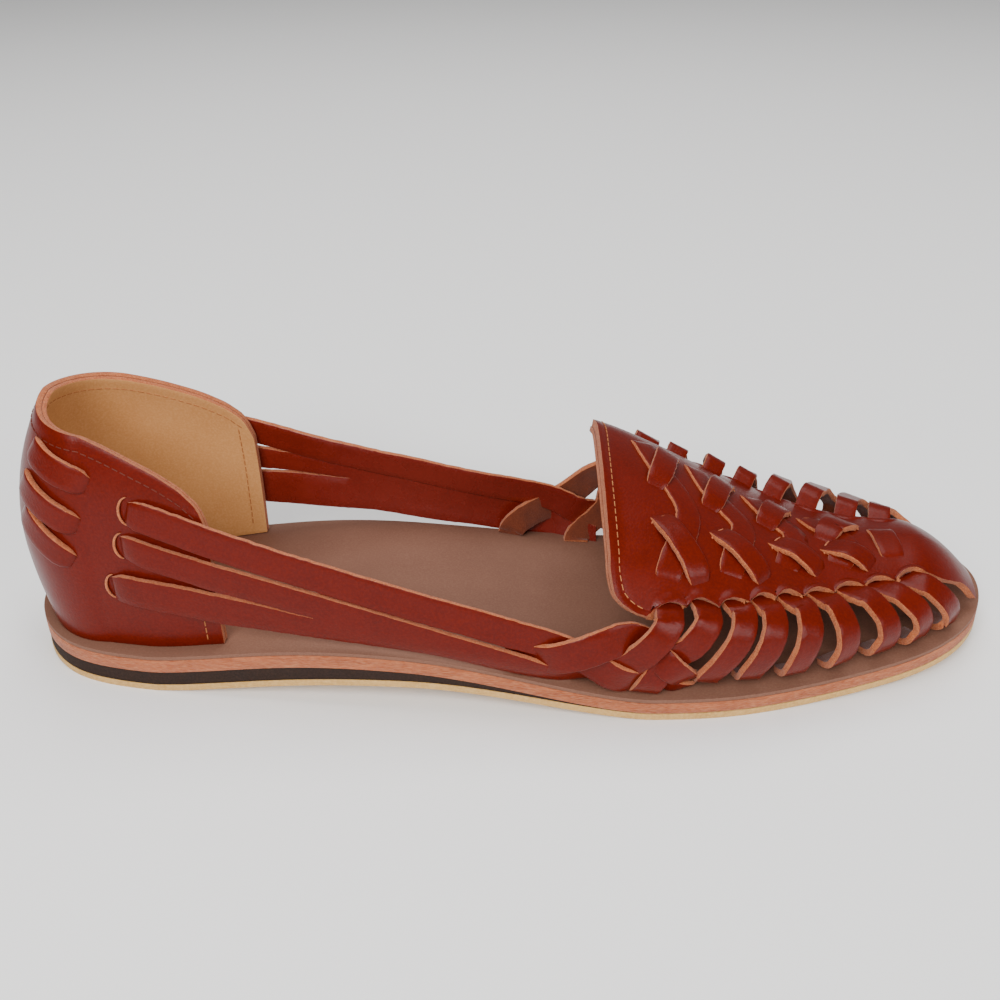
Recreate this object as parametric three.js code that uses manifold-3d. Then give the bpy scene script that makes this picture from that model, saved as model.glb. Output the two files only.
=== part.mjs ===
// Huarache sandal, right shoe: a layered sole, a heel counter and a woven upper.
// Millimetres. +X runs to the toe, +Y to the inner side of the foot, +Z up, floor at Z = 0.
import * as THREE from 'three';
import ManifoldModule from 'manifold-3d';

// ---- driving sizes --------------------------------------------------------------------------
const SOLE_LENGTH = 262;
const HEEL_END_RADIUS = 32;
const TOE_END_RADIUS = { lateral: 30, medial: 22 };
const TOE_SWING = 7.4;
const SWING_START = 0.45;

const ARCH_HEIGHT = 7.2;
const ARCH_FROM = 0.14;
const ARCH_TO = 0.64;
const ARCH_POWER = 1.35;
const SPRING_HEIGHT = 5.1;
const SPRING_FROM = 0.72;
const SPRING_POWER = 1.8;
const HEEL_LIFT = 1.5;
const HEEL_LIFT_TO = 0.06;
const HEEL_LIFT_POWER = 1.5;

const STACK = { heel: 10.9, toe: 6.3, from: 0.25, to: 0.63 };
const OUTSOLE = 1.8;
const MIDSOLE = { heel: 3.5, toe: 2.8 };
const INSOLE = 1.1;
const WEDGE_TIP = 0.3;
const GAP = 0.3;

const STRAP_THICKNESS = 2.2;
const THONG_WIDTH = 8;
const PANEL_THICKNESS = 2.4;
const COUNTER_THICKNESS = 2.8;
const FOOT_ANGLE = -22;

const SOLE_STATIONS = 56;
const PANEL_GRID = [22, 12];
const COUNTER_GRID = [40, 8];
const LOOP_STEPS = 8;
const BRAID_STEPS = 12;
const STRAP_STEPS = 2;
const TUCK = { heel: 0.2, from: 57, to: 150 };
const COUNTER_FRONT = 57;
const HEEL_ROUND = 25;
const HEEL_POWER = 2.05;

// Half widths of the sole to either side of its centre line, as a share of its length.
const SOLE_HALF_WIDTH = [
  { at: 0.10, lateral: 30.0, medial: 30.0 },
  { at: 0.40, lateral: 38.5, medial: 27.2 },
  { at: 0.70, lateral: 42.3, medial: 38.4 },
  { at: 0.88, lateral: 33.0, medial: 35.3 },
];

// Sections of the last: ridge, widest points and crown; fullness shapes the inner shoulder.
const LAST = [
  { x: 25, ridge: 0, lateral: -26.0, medial: 26.4, crown: 87, waist: 30, fullness: 1.00 },
  { x: 40, ridge: 0, lateral: -28.2, medial: 28.2, crown: 88, waist: 30, fullness: 1.00 },
  { x: 57, ridge: 0, lateral: -29.8, medial: 28.8, crown: 86, waist: 30, fullness: 1.00 },
  { x: 80, ridge: 2, lateral: -33.2, medial: 27.6, crown: 80, waist: 28, fullness: 1.00 },
  { x: 100, ridge: 4, lateral: -36.2, medial: 27.6, crown: 73, waist: 25, fullness: 1.00 },
  { x: 120, ridge: 7, lateral: -38.6, medial: 29.0, crown: 66, waist: 22, fullness: 1.00 },
  { x: 140, ridge: 11, lateral: -40.0, medial: 32.0, crown: 59, waist: 20, fullness: 0.98 },
  { x: 157, ridge: 13, lateral: -40.6, medial: 35.0, crown: 54, waist: 18, fullness: 0.95 },
  { x: 172, ridge: 10, lateral: -40.0, medial: 37.0, crown: 47.2, waist: 18, fullness: 0.95 },
  { x: 189, ridge: 5.5, lateral: -38.2, medial: 38.0, crown: 38.6, waist: 18, fullness: 1.02 },
  { x: 209, ridge: 2.5, lateral: -34.0, medial: 36.7, crown: 30.8, waist: 17.5, fullness: 1.20 },
  { x: 225, ridge: 2, lateral: -27.5, medial: 35.0, crown: 28.2, waist: 17, fullness: 1.45 },
  { x: 233, ridge: 2, lateral: -24.0, medial: 31.5, crown: 27.8, waist: 16.5, fullness: 1.40 },
  { x: 243, ridge: 2, lateral: -17.5, medial: 25.0, crown: 27.2, waist: 16, fullness: 1.30 },
  { x: 250, ridge: 2, lateral: -12.0, medial: 20.0, crown: 23.0, waist: 15, fullness: 1.30 },
  { x: 257, ridge: 2, lateral: -6.5, medial: 11.0, crown: 16.0, waist: 12.5, fullness: 1.20 },
  { x: 260, ridge: 2, lateral: -3.0, medial: 7.0, crown: 12.5, waist: 12, fullness: 1.20 },
];

// Share of the way from the heel's back to the counter's front edge at which its walls run straight.
const HEEL_STRAIGHT_FROM = 0.45;
// Stations tried when the wedge's thin end is looked for.
const WEDGE_SEARCH = 400;

// Back of the heel: how far the outside of the counter lies behind the shoe's zero, by height.
const HEEL_BACK = [
  { z: 10, x: 3.4 },
  { z: 25, x: 0.4 },
  { z: 39, x: -0.4 },
  { z: 55, x: 2.6 },
  { z: 74, x: 11.0 },
];

// Rim of the counter, from its front corner round to the middle of the heel.
const RIM = [
  { x: 57, z: 46 },
  { x: 55.5, z: 51 },
  { x: 52, z: 55.8 },
  { x: 47, z: 59.5 },
  { x: 38, z: 64 },
  { x: 25, z: 69 },
  { x: 0, z: 73.5 },
];

// Long edges of the vamp panel as angles round the last (0 outer side, 90 crown, 180 inner side).
const PANEL_EDGE = [
  { x: 155, lateral: 22, medial: 136 },
  { x: 172, lateral: 26, medial: 134 },
  { x: 189, lateral: 33.5, medial: 130 },
  { x: 206, lateral: 42.5, medial: 126 },
  { x: 223, lateral: 49, medial: 124 },
  { x: 240, lateral: 50, medial: 126 },
  { x: 250, lateral: 43, medial: 134 },
  { x: 257, lateral: 40, medial: 148 },
];
// Where the inner side's thongs start to climb higher than the outer side's.
const CLIMB = { from: 148, to: 168 };
// How far the inner side's thongs leave the panel behind the outer side's, and how high they stand over its edge.
const INNER_THONGS = [
  { x: 148, back: 0, rise: 0 },
  { x: 160, back: 4, rise: 0 },
  { x: 171, back: 9, rise: 1 },
  { x: 189, back: 10.5, rise: 2 },
  { x: 196, back: 7.5, rise: 2.8 },
  { x: 203, back: 6, rise: 2.5 },
  { x: 210, back: 4.4, rise: 2.9 },
  { x: 218, back: 3, rise: 3.4 },
  { x: 227, back: 1.4, rise: 2.4 },
  { x: 236, back: 0.6, rise: 1.4 },
  { x: 250, back: 0, rise: 0 },
];
const THONG_FOOT_ANGLE = -12;
const THONG_FREE_ANGLE = 22;
const THROAT = [
  { across: 0.00, x: 169 },
  { across: 0.06, x: 161 },
  { across: 0.14, x: 157.5 },
  { across: 0.30, x: 156.2 },
  { across: 0.90, x: 155.2 },
  { across: 1.00, x: 157 },
];
const PANEL_TOE = 257;

// Side thongs: station at the panel's edge and at the foot of each loop, heel to toe.
const LATERAL_LOOPS = [
  { hole: 189.3, foot: 182.0, lean: 187.5 },
  { hole: 195.5, foot: 192.7, lean: 197.5 },
  { hole: 202.4, foot: 205.1, lean: 207.5 },
  { hole: 209.9, foot: 217.3, lean: 217.5 },
  { hole: 217.9, foot: 228.1, lean: 226.5 },
  { hole: 226.4, foot: 238.3, lean: 235.5 },
  { hole: 235.2, foot: 247.5, lean: 244.5 },
];

// Woven straps of each side: station, angle round the last, offset from it and width.
const BRAID = {
  firstThong: [
    { x: 171, angle: 30, off: -1.0, width: 8 },
    { x: 170.5, angle: 20, off: 1.8, width: 8 },
    { x: 167, angle: 9, off: 1.6, width: 8 },
    { x: 161, angle: 2, off: 0.2, width: 8 },
    { x: 154, angle: -9, off: -1.0, width: 8 },
    { x: 148, angle: -21, off: -0.6, width: 8 },
    { x: 146, angle: -26, off: 0, width: 8 },
  ],
  secondThong: [
    { x: 180, angle: 31, off: -1.0, width: 8 },
    { x: 181, angle: 20, off: 1.8, width: 8 },
    { x: 178, angle: 9, off: 0.6, width: 8 },
    { x: 172, angle: 0, off: -1.0, width: 8 },
    { x: 166, angle: -13, off: 1.0, width: 8 },
    { x: 162, angle: -26, off: 0.4, width: 8 },
  ],
  crossStrap: [
    { x: 133, angle: -8, off: -1.0, width: 6 },
    { x: 140, angle: -2, off: -0.2, width: 7 },
    { x: 149, angle: 5, off: 1.0, width: 8 },
    { x: 160, angle: 9, off: -0.6, width: 8 },
    { x: 167, angle: 4, off: -1.0, width: 8 },
    { x: 172, angle: -1, off: 0.9, width: 8 },
    { x: 177, angle: -14, off: 0.4, width: 8 },
    { x: 178, angle: -26, off: 0, width: 8 },
  ],
};
const UPPER_STRAP = [
  { x: 37, z: 51.6, off: 1.5, width: 8 },
  { x: 57, z: 45.6, off: 1.5, width: 8 },
  { x: 88, z: 36.3, off: 1.0, width: 8 },
  { x: 122, z: 26.9, off: 0.8, width: 8 },
  { x: 139, z: 22.2, off: -0.2, width: 8 },
  { x: 147, z: 18.6, off: -1.0, width: 8 },
  { x: 155, z: 15.6, off: 0.2, width: 8 },
  { x: 163, z: 13.2, off: -0.8, width: 7 },
  { x: 173, z: 10.6, off: -1.0, width: 6 },
  { x: 178, z: 7.0, off: -0.8, width: 5 },
];
const MIDDLE_FINGER = [
  { x: 34, z: 41.0, off: 1.5, width: 7.5 },
  { x: 56, z: 34.9, off: 1.5, width: 8.6 },
  { x: 84, z: 27.6, off: 1.0, width: 7.4 },
];
const LOWER_FINGER = [
  { x: 30, z: 30.4, off: 1.5, width: 7.5 },
  { x: 56, z: 24.6, off: 1.5, width: 8.4 },
  { x: 84, z: 20.8, off: 1.0, width: 6.6 },
];
const LOWER_STRAP = [
  { x: 80, z: 25.1, off: 1.0, width: 14 },
  { x: 100, z: 21.6, off: 0.8, width: 10.6 },
  { x: 120, z: 18.4, off: 0.6, width: 7.8 },
  { x: 140, z: 14.4, off: 0.8, width: 6.4 },
  { x: 149, z: 11.0, off: 0, width: 6 },
  { x: 153, z: 7.0, off: -0.6, width: 6 },
];

// ---- small mathematics ----------------------------------------------------------------------
const clamp01 = (value) => Math.min(1, Math.max(0, value));
const radians = (degrees) => (degrees * Math.PI) / 180;

function tangents(xs, ys) {
  const last = xs.length - 1;
  const slope = xs.slice(1).map((x, i) => (ys[i + 1] - ys[i]) / (x - xs[i]));
  const inner = slope.slice(1).map((next, i) => {
    const before = xs[i + 1] - xs[i];
    const after = xs[i + 2] - xs[i + 1];
    return (slope[i] * after + next * before) / (before + after);
  });
  if (last === 1) {
    return [slope[0], slope[0]];
  }
  const first = 1.5 * slope[0] - 0.5 * inner[0];
  const end = 1.5 * slope[last - 1] - 0.5 * inner[inner.length - 1];
  return [first, ...inner, end];
}

// Smooth curve through the rows of a table, from its x column to the column named.
function curve(rows, column, key = 'x') {
  const sorted = [...rows].sort((a, b) => a[key] - b[key]);
  const xs = sorted.map((row) => row[key]);
  const ys = sorted.map((row) => row[column]);
  const m = tangents(xs, ys);
  return (x) => {
    const at = Math.min(Math.max(x, xs[0]), xs[xs.length - 1]);
    const next = xs.findIndex((value, i) => i > 0 && value >= at);
    const i = next - 1;
    const h = xs[next] - xs[i];
    const t = (at - xs[i]) / h;
    const s = 1 - t;
    return ys[i] * (1 + 2 * t) * s * s + m[i] * h * t * s * s
      + ys[next] * (1 + 2 * s) * t * t - m[next] * h * s * t * t;
  };
}

// ---- sole -----------------------------------------------------------------------------------
const envelope = (share) => Math.sqrt(Math.max(0, 4 * share * (1 - share)));

function halfWidth(side) {
  const ends = [
    { at: 0, ratio: Math.sqrt((HEEL_END_RADIUS * SOLE_LENGTH) / 2) },
    { at: 1, ratio: Math.sqrt((TOE_END_RADIUS[side] * SOLE_LENGTH) / 2) },
  ];
  const rows = SOLE_HALF_WIDTH.map((row) => ({ at: row.at, ratio: row[side] / envelope(row.at) }));
  const ratio = curve([...ends, ...rows], 'ratio', 'at');
  return (share) => ratio(share) * envelope(share);
}

const lateralWidth = halfWidth('lateral');
const medialWidth = halfWidth('medial');

function soleEdges(x) {
  const share = clamp01(x / SOLE_LENGTH);
  const centre = TOE_SWING * clamp01((share - SWING_START) / (1 - SWING_START)) ** 2;
  return { lateral: centre - lateralWidth(share), medial: centre + medialWidth(share) };
}

function floorLine(x) {
  const share = x / SOLE_LENGTH;
  const arch = Math.sin(Math.PI * clamp01((share - ARCH_FROM) / (ARCH_TO - ARCH_FROM))) ** ARCH_POWER;
  const spring = clamp01((share - SPRING_FROM) / (1 - SPRING_FROM)) ** SPRING_POWER;
  const heel = clamp01((HEEL_LIFT_TO - share) / HEEL_LIFT_TO) ** HEEL_LIFT_POWER;
  return ARCH_HEIGHT * arch + SPRING_HEIGHT * spring + HEEL_LIFT * heel;
}

function tapered(sizes, x) {
  const along = clamp01((x / SOLE_LENGTH - STACK.from) / (STACK.to - STACK.from));
  return sizes.heel + (sizes.toe - sizes.heel) * along * along * (3 - 2 * along);
}

const footbed = (x) => floorLine(x) + tapered(STACK, x);
const insoleUnder = (x) => footbed(x) - INSOLE;
const midsoleTop = (x) => insoleUnder(x) - GAP;
const midsoleUnder = (x) => midsoleTop(x) - tapered(MIDSOLE, x);
const outsoleTop = (x) => floorLine(x) + OUTSOLE;
const wedgeTop = (x) => midsoleUnder(x) - GAP;
const wedgeUnder = (x) => outsoleTop(x) + GAP;

function soleStations(end) {
  const even = Array.from({ length: SOLE_STATIONS + 1 }, (_, i) => (
    SOLE_LENGTH * (1 - Math.cos((Math.PI * i) / SOLE_STATIONS)) / 2));
  const flats = [HEEL_LIFT_TO, ARCH_FROM, ARCH_TO, SPRING_FROM].map((share) => share * SOLE_LENGTH);
  const inside = even.filter((x) => flats.every((flat) => Math.abs(x - flat) > 1));
  return [...inside, ...flats].filter((x) => x < end - 0.5).concat(end).sort((a, b) => a - b);
}

// A layer cut to the sole's outline between two height lines, ending at station `end`.
function soleLayer(under, top, end = SOLE_LENGTH, grow = 0) {
  const points = [];
  const faces = [];
  const stations = soleStations(end);
  stations.forEach((x) => {
    const { lateral, medial } = soleEdges(x);
    points.push([x, lateral - grow, under(x)], [x, medial + grow, under(x)]);
    points.push([x, medial + grow, top(x)], [x, lateral - grow, top(x)]);
  });
  for (let i = 0; i < stations.length - 1; i += 1) {
    for (let k = 0; k < 4; k += 1) {
      const a = 4 * i + k;
      const b = 4 * i + ((k + 1) % 4);
      faces.push([a, a + 4, b], [b, a + 4, b + 4]);
    }
  }
  const end4 = 4 * (stations.length - 1);
  faces.push([0, 1, 2], [0, 2, 3], [end4, end4 + 2, end4 + 1], [end4, end4 + 3, end4 + 2]);
  return { points, faces };
}

// ---- last -----------------------------------------------------------------------------------
const section = Object.fromEntries(
  ['ridge', 'lateral', 'medial', 'crown', 'waist', 'fullness'].map((key) => [key, curve(LAST, key)]),
);

// Share of the full curve by which the wall turns in above the footbed, less at the heel.
function tuck(x) {
  return TUCK.heel + (1 - TUCK.heel) * clamp01((x - TUCK.from) / (TUCK.to - TUCK.from));
}

function lastPoint(x, angle) {
  const rise = Math.sin(radians(angle));
  const out = Math.cos(radians(angle));
  const ridge = section.ridge(x);
  const waist = section.waist(x);
  const inner = out < 0;
  const power = inner ? section.fullness(x) : 1;
  const half = inner ? section.medial(x) - ridge : section.lateral(x) - ridge;
  const drop = (waist - footbed(x)) / Math.sin(radians(-FOOT_ANGLE));
  const height = rise >= 0 ? (section.crown(x) - waist) * rise ** power : drop * rise;
  const reach = rise >= 0 ? Math.abs(out) ** power : 1 - tuck(x) * (1 - Math.abs(out) ** power);
  return new THREE.Vector3(x, ridge + half * reach, waist + height);
}

function lastNormal(x, angle) {
  const along = lastPoint(x + 0.5, angle).sub(lastPoint(x - 0.5, angle));
  const around = lastPoint(x, angle + 0.5).sub(lastPoint(x, angle - 0.5));
  return along.cross(around).normalize();
}

// Angle on the outer wall of the last at height z.
function wallAngle(x, z) {
  const waist = section.waist(x);
  if (z >= waist) {
    return (Math.asin(clamp01((z - waist) / (section.crown(x) - waist))) * 180) / Math.PI;
  }
  const share = ((waist - z) / (waist - footbed(x))) * Math.sin(radians(-FOOT_ANGLE));
  return (-Math.asin(Math.min(1, share)) * 180) / Math.PI;
}

const panelLateral = curve(PANEL_EDGE, 'lateral');
const panelMedial = curve(PANEL_EDGE, 'medial');

// ---- meshes ---------------------------------------------------------------------------------
// Two skins of the same grid, closed along their four borders.
function twoSkins(columns, rows, outer, inner) {
  const points = [];
  const faces = [];
  const size = (columns + 1) * (rows + 1);
  const id = (i, j, skin) => skin * size + i * (rows + 1) + j;
  [outer, inner].forEach((skin) => {
    for (let i = 0; i <= columns; i += 1) {
      for (let j = 0; j <= rows; j += 1) {
        points.push(skin(i / columns, j / rows).toArray());
      }
    }
  });
  const quad = (a, b, c, d) => faces.push([a, b, c], [a, c, d]);
  for (let i = 0; i < columns; i += 1) {
    for (let j = 0; j < rows; j += 1) {
      quad(id(i, j, 0), id(i + 1, j, 0), id(i + 1, j + 1, 0), id(i, j + 1, 0));
      quad(id(i, j, 1), id(i, j + 1, 1), id(i + 1, j + 1, 1), id(i + 1, j, 1));
    }
    quad(id(i, 0, 0), id(i, 0, 1), id(i + 1, 0, 1), id(i + 1, 0, 0));
    quad(id(i, rows, 0), id(i + 1, rows, 0), id(i + 1, rows, 1), id(i, rows, 1));
  }
  for (let j = 0; j < rows; j += 1) {
    quad(id(0, j, 0), id(0, j + 1, 0), id(0, j + 1, 1), id(0, j, 1));
    quad(id(columns, j, 0), id(columns, j, 1), id(columns, j + 1, 1), id(columns, j + 1, 0));
  }
  return { points, faces };
}

// The inner side's angle matching one of the outer side: its panel edge sits higher.
function innerAngle(x, angle) {
  const share = clamp01((x - CLIMB.from) / (CLIMB.to - CLIMB.from));
  const climb = 1 + share * ((180 - panelMedial(x)) / panelLateral(x) - 1);
  return 180 - angle * (angle > 0 ? climb : 1);
}

const innerBack = curve(INNER_THONGS, 'back');
const innerRise = curve(INNER_THONGS, 'rise');

// How much of the inner thongs' own place a point at this angle takes: none at the footbed.
const innerShare = (angle) => (
  clamp01((angle - THONG_FOOT_ANGLE) / (THONG_FREE_ANGLE - THONG_FOOT_ANGLE))
);

// A flat strap along rows of station, angle, offset and width laid on one side of the last.
function strap(rows, steps, mirrored = false) {
  const keyed = rows.map((row, i) => ({ ...row, i }));
  const read = Object.fromEntries(
    ['x', 'angle', 'off', 'width'].map((key) => [key, curve(keyed, key, 'i')]),
  );
  const spot = (i) => {
    const share = mirrored ? innerShare(read.angle(i)) : 0;
    const x = read.x(i) - innerBack(read.x(i)) * share;
    const angle = mirrored ? innerAngle(x, read.angle(i)) : read.angle(i);
    const off = read.off(i) + innerRise(read.x(i)) * (read.off(i) > 0 ? share ** 2 : 0);
    const normal = lastNormal(x, angle);
    const centre = lastPoint(x, angle).addScaledVector(normal, off);
    return { centre, normal, width: read.width(i) };
  };
  const points = [];
  const faces = [];
  const span = rows.length - 1;
  for (let k = 0; k <= steps; k += 1) {
    const i = (span * k) / steps;
    const { centre, normal, width } = spot(i);
    const ahead = spot(Math.min(span, i + 0.02)).centre;
    const along = ahead.sub(spot(Math.max(0, i - 0.02)).centre).normalize();
    const across = new THREE.Vector3().crossVectors(normal, along).normalize();
    const lift = new THREE.Vector3().crossVectors(along, across).normalize();
    [[-1, -1], [1, -1], [1, 1], [-1, 1]].forEach(([side, up]) => {
      points.push(centre.clone()
        .addScaledVector(across, (side * width) / 2)
        .addScaledVector(lift, (up * STRAP_THICKNESS) / 2).toArray());
    });
  }
  for (let k = 0; k < steps; k += 1) {
    for (let c = 0; c < 4; c += 1) {
      const a = 4 * k + c;
      const b = 4 * k + ((c + 1) % 4);
      faces.push([a, b, a + 4], [b, b + 4, a + 4]);
    }
  }
  const end = 4 * steps;
  faces.push([0, 3, 2], [0, 2, 1], [end, end + 1, end + 2], [end, end + 2, end + 3]);
  return { points, faces };
}

const onWall = (rows) => rows.map((row) => ({ ...row, angle: wallAngle(row.x, row.z) }));

// ---- upper ----------------------------------------------------------------------------------
const throatLine = curve(THROAT, 'x', 'across');

function vampPanel() {
  const skin = (offset) => (along, across) => {
    const start = throatLine(across);
    const x = start + (PANEL_TOE - start) * along;
    const angle = panelLateral(x) + (panelMedial(x) - panelLateral(x)) * across;
    return lastPoint(x, angle).addScaledVector(lastNormal(x, angle), offset);
  };
  return twoSkins(...PANEL_GRID, skin(PANEL_THICKNESS / 2), skin(-PANEL_THICKNESS / 2));
}

function sideLoop({ hole, foot, lean }) {
  const edge = panelLateral(hole);
  return [
    { x: hole, angle: edge + 6, off: -0.8, width: THONG_WIDTH },
    { x: hole + (lean - hole) * 0.25, angle: edge - 3, off: 2.0, width: THONG_WIDTH },
    { x: lean, angle: edge * 0.4, off: 1.6, width: THONG_WIDTH },
    { x: foot + (lean - foot) * 0.4, angle: -12, off: 0.6, width: THONG_WIDTH },
    { x: foot, angle: -26, off: 0, width: THONG_WIDTH },
  ];
}

function wovenSide(mirrored) {
  const straps = [UPPER_STRAP, MIDDLE_FINGER, LOWER_FINGER, LOWER_STRAP].map(onWall);
  return [
    ...LATERAL_LOOPS.map((loop) => strap(sideLoop(loop), LOOP_STEPS, mirrored)),
    ...Object.values(BRAID).map((rows) => strap(rows, BRAID_STEPS, mirrored)),
    ...straps.map((rows) => strap(rows, STRAP_STEPS * (rows.length - 1), mirrored)),
  ];
}

// ---- heel counter ---------------------------------------------------------------------------
const heelBack = curve(HEEL_BACK, 'x', 'z');
const rimHeight = curve(RIM, 'z');

// Point of the counter's outside: `around` runs 0 outer front, 0.5 heel, 1 inner front.
function counterPoint(around, height) {
  const turn = Math.abs(around - 0.5) * 2;
  const mirrored = around > 0.5;
  const straight = HEEL_STRAIGHT_FROM;
  const x = turn > straight
    ? HEEL_ROUND + ((COUNTER_FRONT - HEEL_ROUND) * (turn - straight)) / (1 - straight)
    : HEEL_ROUND;
  const rim = turn > straight
    ? rimHeight(x)
    : rimHeight(HEEL_ROUND) + (rimHeight(0) - rimHeight(HEEL_ROUND)) * (1 - turn / straight);
  const bottom = footbed(x) + GAP;
  const z = bottom + (rim - bottom) * height;
  const lean = wallAngle(x, z);
  const side = lastPoint(x, mirrored ? 180 - lean : lean);
  if (turn > straight) {
    return side;
  }
  const swing = radians((90 * turn) / straight);
  const back = HEEL_ROUND - (HEEL_ROUND - heelBack(z)) * Math.cos(swing) ** (2 / HEEL_POWER);
  return new THREE.Vector3(back, side.y * Math.sin(swing) ** (2 / HEEL_POWER), z);
}

function counterNormal(around, height) {
  const step = 0.004;
  const u = Math.min(1 - step, Math.max(step, around));
  const v = Math.min(1 - step, Math.max(step, height));
  const along = counterPoint(u + step, v).sub(counterPoint(u - step, v));
  const up = counterPoint(u, v + step).sub(counterPoint(u, v - step));
  return up.cross(along).normalize();
}

function counterWall(outside, inside) {
  const skin = (offset) => (around, height) => (
    counterPoint(around, height).addScaledVector(counterNormal(around, height), offset));
  return twoSkins(...COUNTER_GRID, skin(outside), skin(inside));
}

// ---- solids ---------------------------------------------------------------------------------
const wasm = await ManifoldModule();
wasm.setup();

function signedVolume({ points, faces }) {
  return faces.reduce((sum, [a, b, c]) => {
    const [p, q, r] = [points[a], points[b], points[c]];
    return sum + (p[0] * (q[1] * r[2] - q[2] * r[1]) + p[1] * (q[2] * r[0] - q[0] * r[2])
      + p[2] * (q[0] * r[1] - q[1] * r[0])) / 6;
  }, 0);
}

function outward(shape) {
  if (signedVolume(shape) >= 0) {
    return shape;
  }
  return { points: shape.points, faces: shape.faces.map(([a, b, c]) => [a, c, b]) };
}

function toManifold(shape) {
  const { points, faces } = outward(shape);
  const mesh = new wasm.Mesh({
    numProp: 3,
    vertProperties: new Float32Array(points.flat()),
    triVerts: new Uint32Array(faces.flat()),
  });
  mesh.merge();
  return new wasm.Manifold(mesh);
}

function fromManifold(solid) {
  const mesh = solid.getMesh();
  const points = [];
  for (let i = 0; i < mesh.vertProperties.length; i += mesh.numProp) {
    points.push([0, 1, 2].map((k) => mesh.vertProperties[i + k]));
  }
  const faces = [];
  for (let i = 0; i < mesh.triVerts.length; i += 3) {
    faces.push([0, 1, 2].map((k) => mesh.triVerts[i + k]));
  }
  return { points, faces };
}

const join = (shapes) => shapes.map(toManifold).reduce((sum, next) => sum.add(next));

const FLOOR_DEPTH = 30;
const FLOOR_MARGIN = 25;

// Everything below the footbed and its gap, used to trim the feet of the straps.
function belowFootbed() {
  return toManifold(soleLayer((x) => footbed(x) - FLOOR_DEPTH, (x) => footbed(x) + GAP,
    SOLE_LENGTH, FLOOR_MARGIN));
}

function heelCounter() {
  return fromManifold(toManifold(counterWall(0, -COUNTER_THICKNESS)).subtract(belowFootbed()));
}

function upper() {
  const woven = join([vampPanel(), ...wovenSide(false), ...wovenSide(true)]);
  const clearance = toManifold(counterWall(GAP, -COUNTER_THICKNESS - 1));
  return fromManifold(woven.subtract(belowFootbed()).subtract(clearance));
}

// ---- assembly -------------------------------------------------------------------------------
const FINISHES = {
  outsole: { color: 0xb39c6c, roughness: 0.7, metalness: 0 },
  heel_wedge: { color: 0x3a2a26, roughness: 0.8, metalness: 0 },
  midsole: { color: 0xc07250, roughness: 0.75, metalness: 0 },
  insole: { color: 0x8a6656, roughness: 0.8, metalness: 0 },
  heel_counter: { color: 0x84291b, roughness: 0.4, metalness: 0 },
  upper: { color: 0x86281a, roughness: 0.4, metalness: 0 },
};

function wedgeEnd() {
  const stations = Array.from({ length: WEDGE_SEARCH }, (_, i) => (SOLE_LENGTH * i) / WEDGE_SEARCH);
  return stations.findLast((x) => x < SOLE_LENGTH * STACK.to
    && wedgeTop(x) - wedgeUnder(x) > WEDGE_TIP);
}

const shapes = {
  outsole: soleLayer(floorLine, outsoleTop),
  heel_wedge: soleLayer(wedgeUnder, wedgeTop, wedgeEnd()),
  midsole: soleLayer(midsoleUnder, midsoleTop),
  insole: soleLayer(insoleUnder, footbed),
  heel_counter: heelCounter(),
  upper: upper(),
};

function boundsOf(all) {
  const box = new THREE.Box3();
  all.flatMap((shape) => shape.points).forEach((point) => {
    box.expandByPoint(new THREE.Vector3(...point));
  });
  return box;
}

function toMesh(name, shape, shift) {
  const { points, faces } = outward(shape);
  const geometry = new THREE.BufferGeometry();
  geometry.setAttribute('position', new THREE.Float32BufferAttribute(points.flat(), 3));
  geometry.setIndex(faces.flat());
  geometry.translate(shift.x, shift.y, shift.z);
  geometry.computeVertexNormals();
  const mesh = new THREE.Mesh(geometry, new THREE.MeshStandardMaterial(FINISHES[name]));
  mesh.name = name;
  return mesh;
}

// The origin sits under the middle of the whole shoe, on the floor.
const bounds = boundsOf(Object.values(shapes));
const middle = bounds.getCenter(new THREE.Vector3());
const shift = new THREE.Vector3(-middle.x, -middle.y, -bounds.min.z);

const shoe = new THREE.Group();
shoe.name = 'huarache_sandal';
Object.entries(shapes).forEach(([name, shape]) => shoe.add(toMesh(name, shape, shift)));

export default shoe;
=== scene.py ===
"""Right huarache sandal: a layered sole, a lined heel counter and a woven strap upper.

Shapes are worked out in the shoe's own millimetres (x from the back of the sole to the toe, y towards the
inner side of the foot, z up from the floor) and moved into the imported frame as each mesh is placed.
"""
import logging
import math
from dataclasses import dataclass
from enum import Enum
from typing import Callable, Iterable, Mapping, Optional, Sequence

import bpy
from mathutils import Matrix, Vector, noise


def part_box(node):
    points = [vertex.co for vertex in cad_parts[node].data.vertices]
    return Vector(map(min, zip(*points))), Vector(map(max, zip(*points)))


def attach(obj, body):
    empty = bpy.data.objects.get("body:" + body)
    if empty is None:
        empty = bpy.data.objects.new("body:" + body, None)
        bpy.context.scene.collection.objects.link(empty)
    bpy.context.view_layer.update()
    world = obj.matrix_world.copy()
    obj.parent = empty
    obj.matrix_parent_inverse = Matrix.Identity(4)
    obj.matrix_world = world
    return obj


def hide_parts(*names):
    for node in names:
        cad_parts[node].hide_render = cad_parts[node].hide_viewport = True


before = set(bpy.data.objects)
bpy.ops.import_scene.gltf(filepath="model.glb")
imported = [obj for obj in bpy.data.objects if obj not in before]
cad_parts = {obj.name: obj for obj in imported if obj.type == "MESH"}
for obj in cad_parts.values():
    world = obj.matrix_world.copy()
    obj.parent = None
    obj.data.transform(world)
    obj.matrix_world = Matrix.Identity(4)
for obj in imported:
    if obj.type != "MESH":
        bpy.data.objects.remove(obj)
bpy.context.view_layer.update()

LOG = logging.getLogger("huarache")
BODY = "root"
MM = 0.001
MERGE = 0.00001  # corners closer than this, in metres, are one corner
SMOOTH = math.radians(50)  # bends flatter than this are shaded smooth
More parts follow.
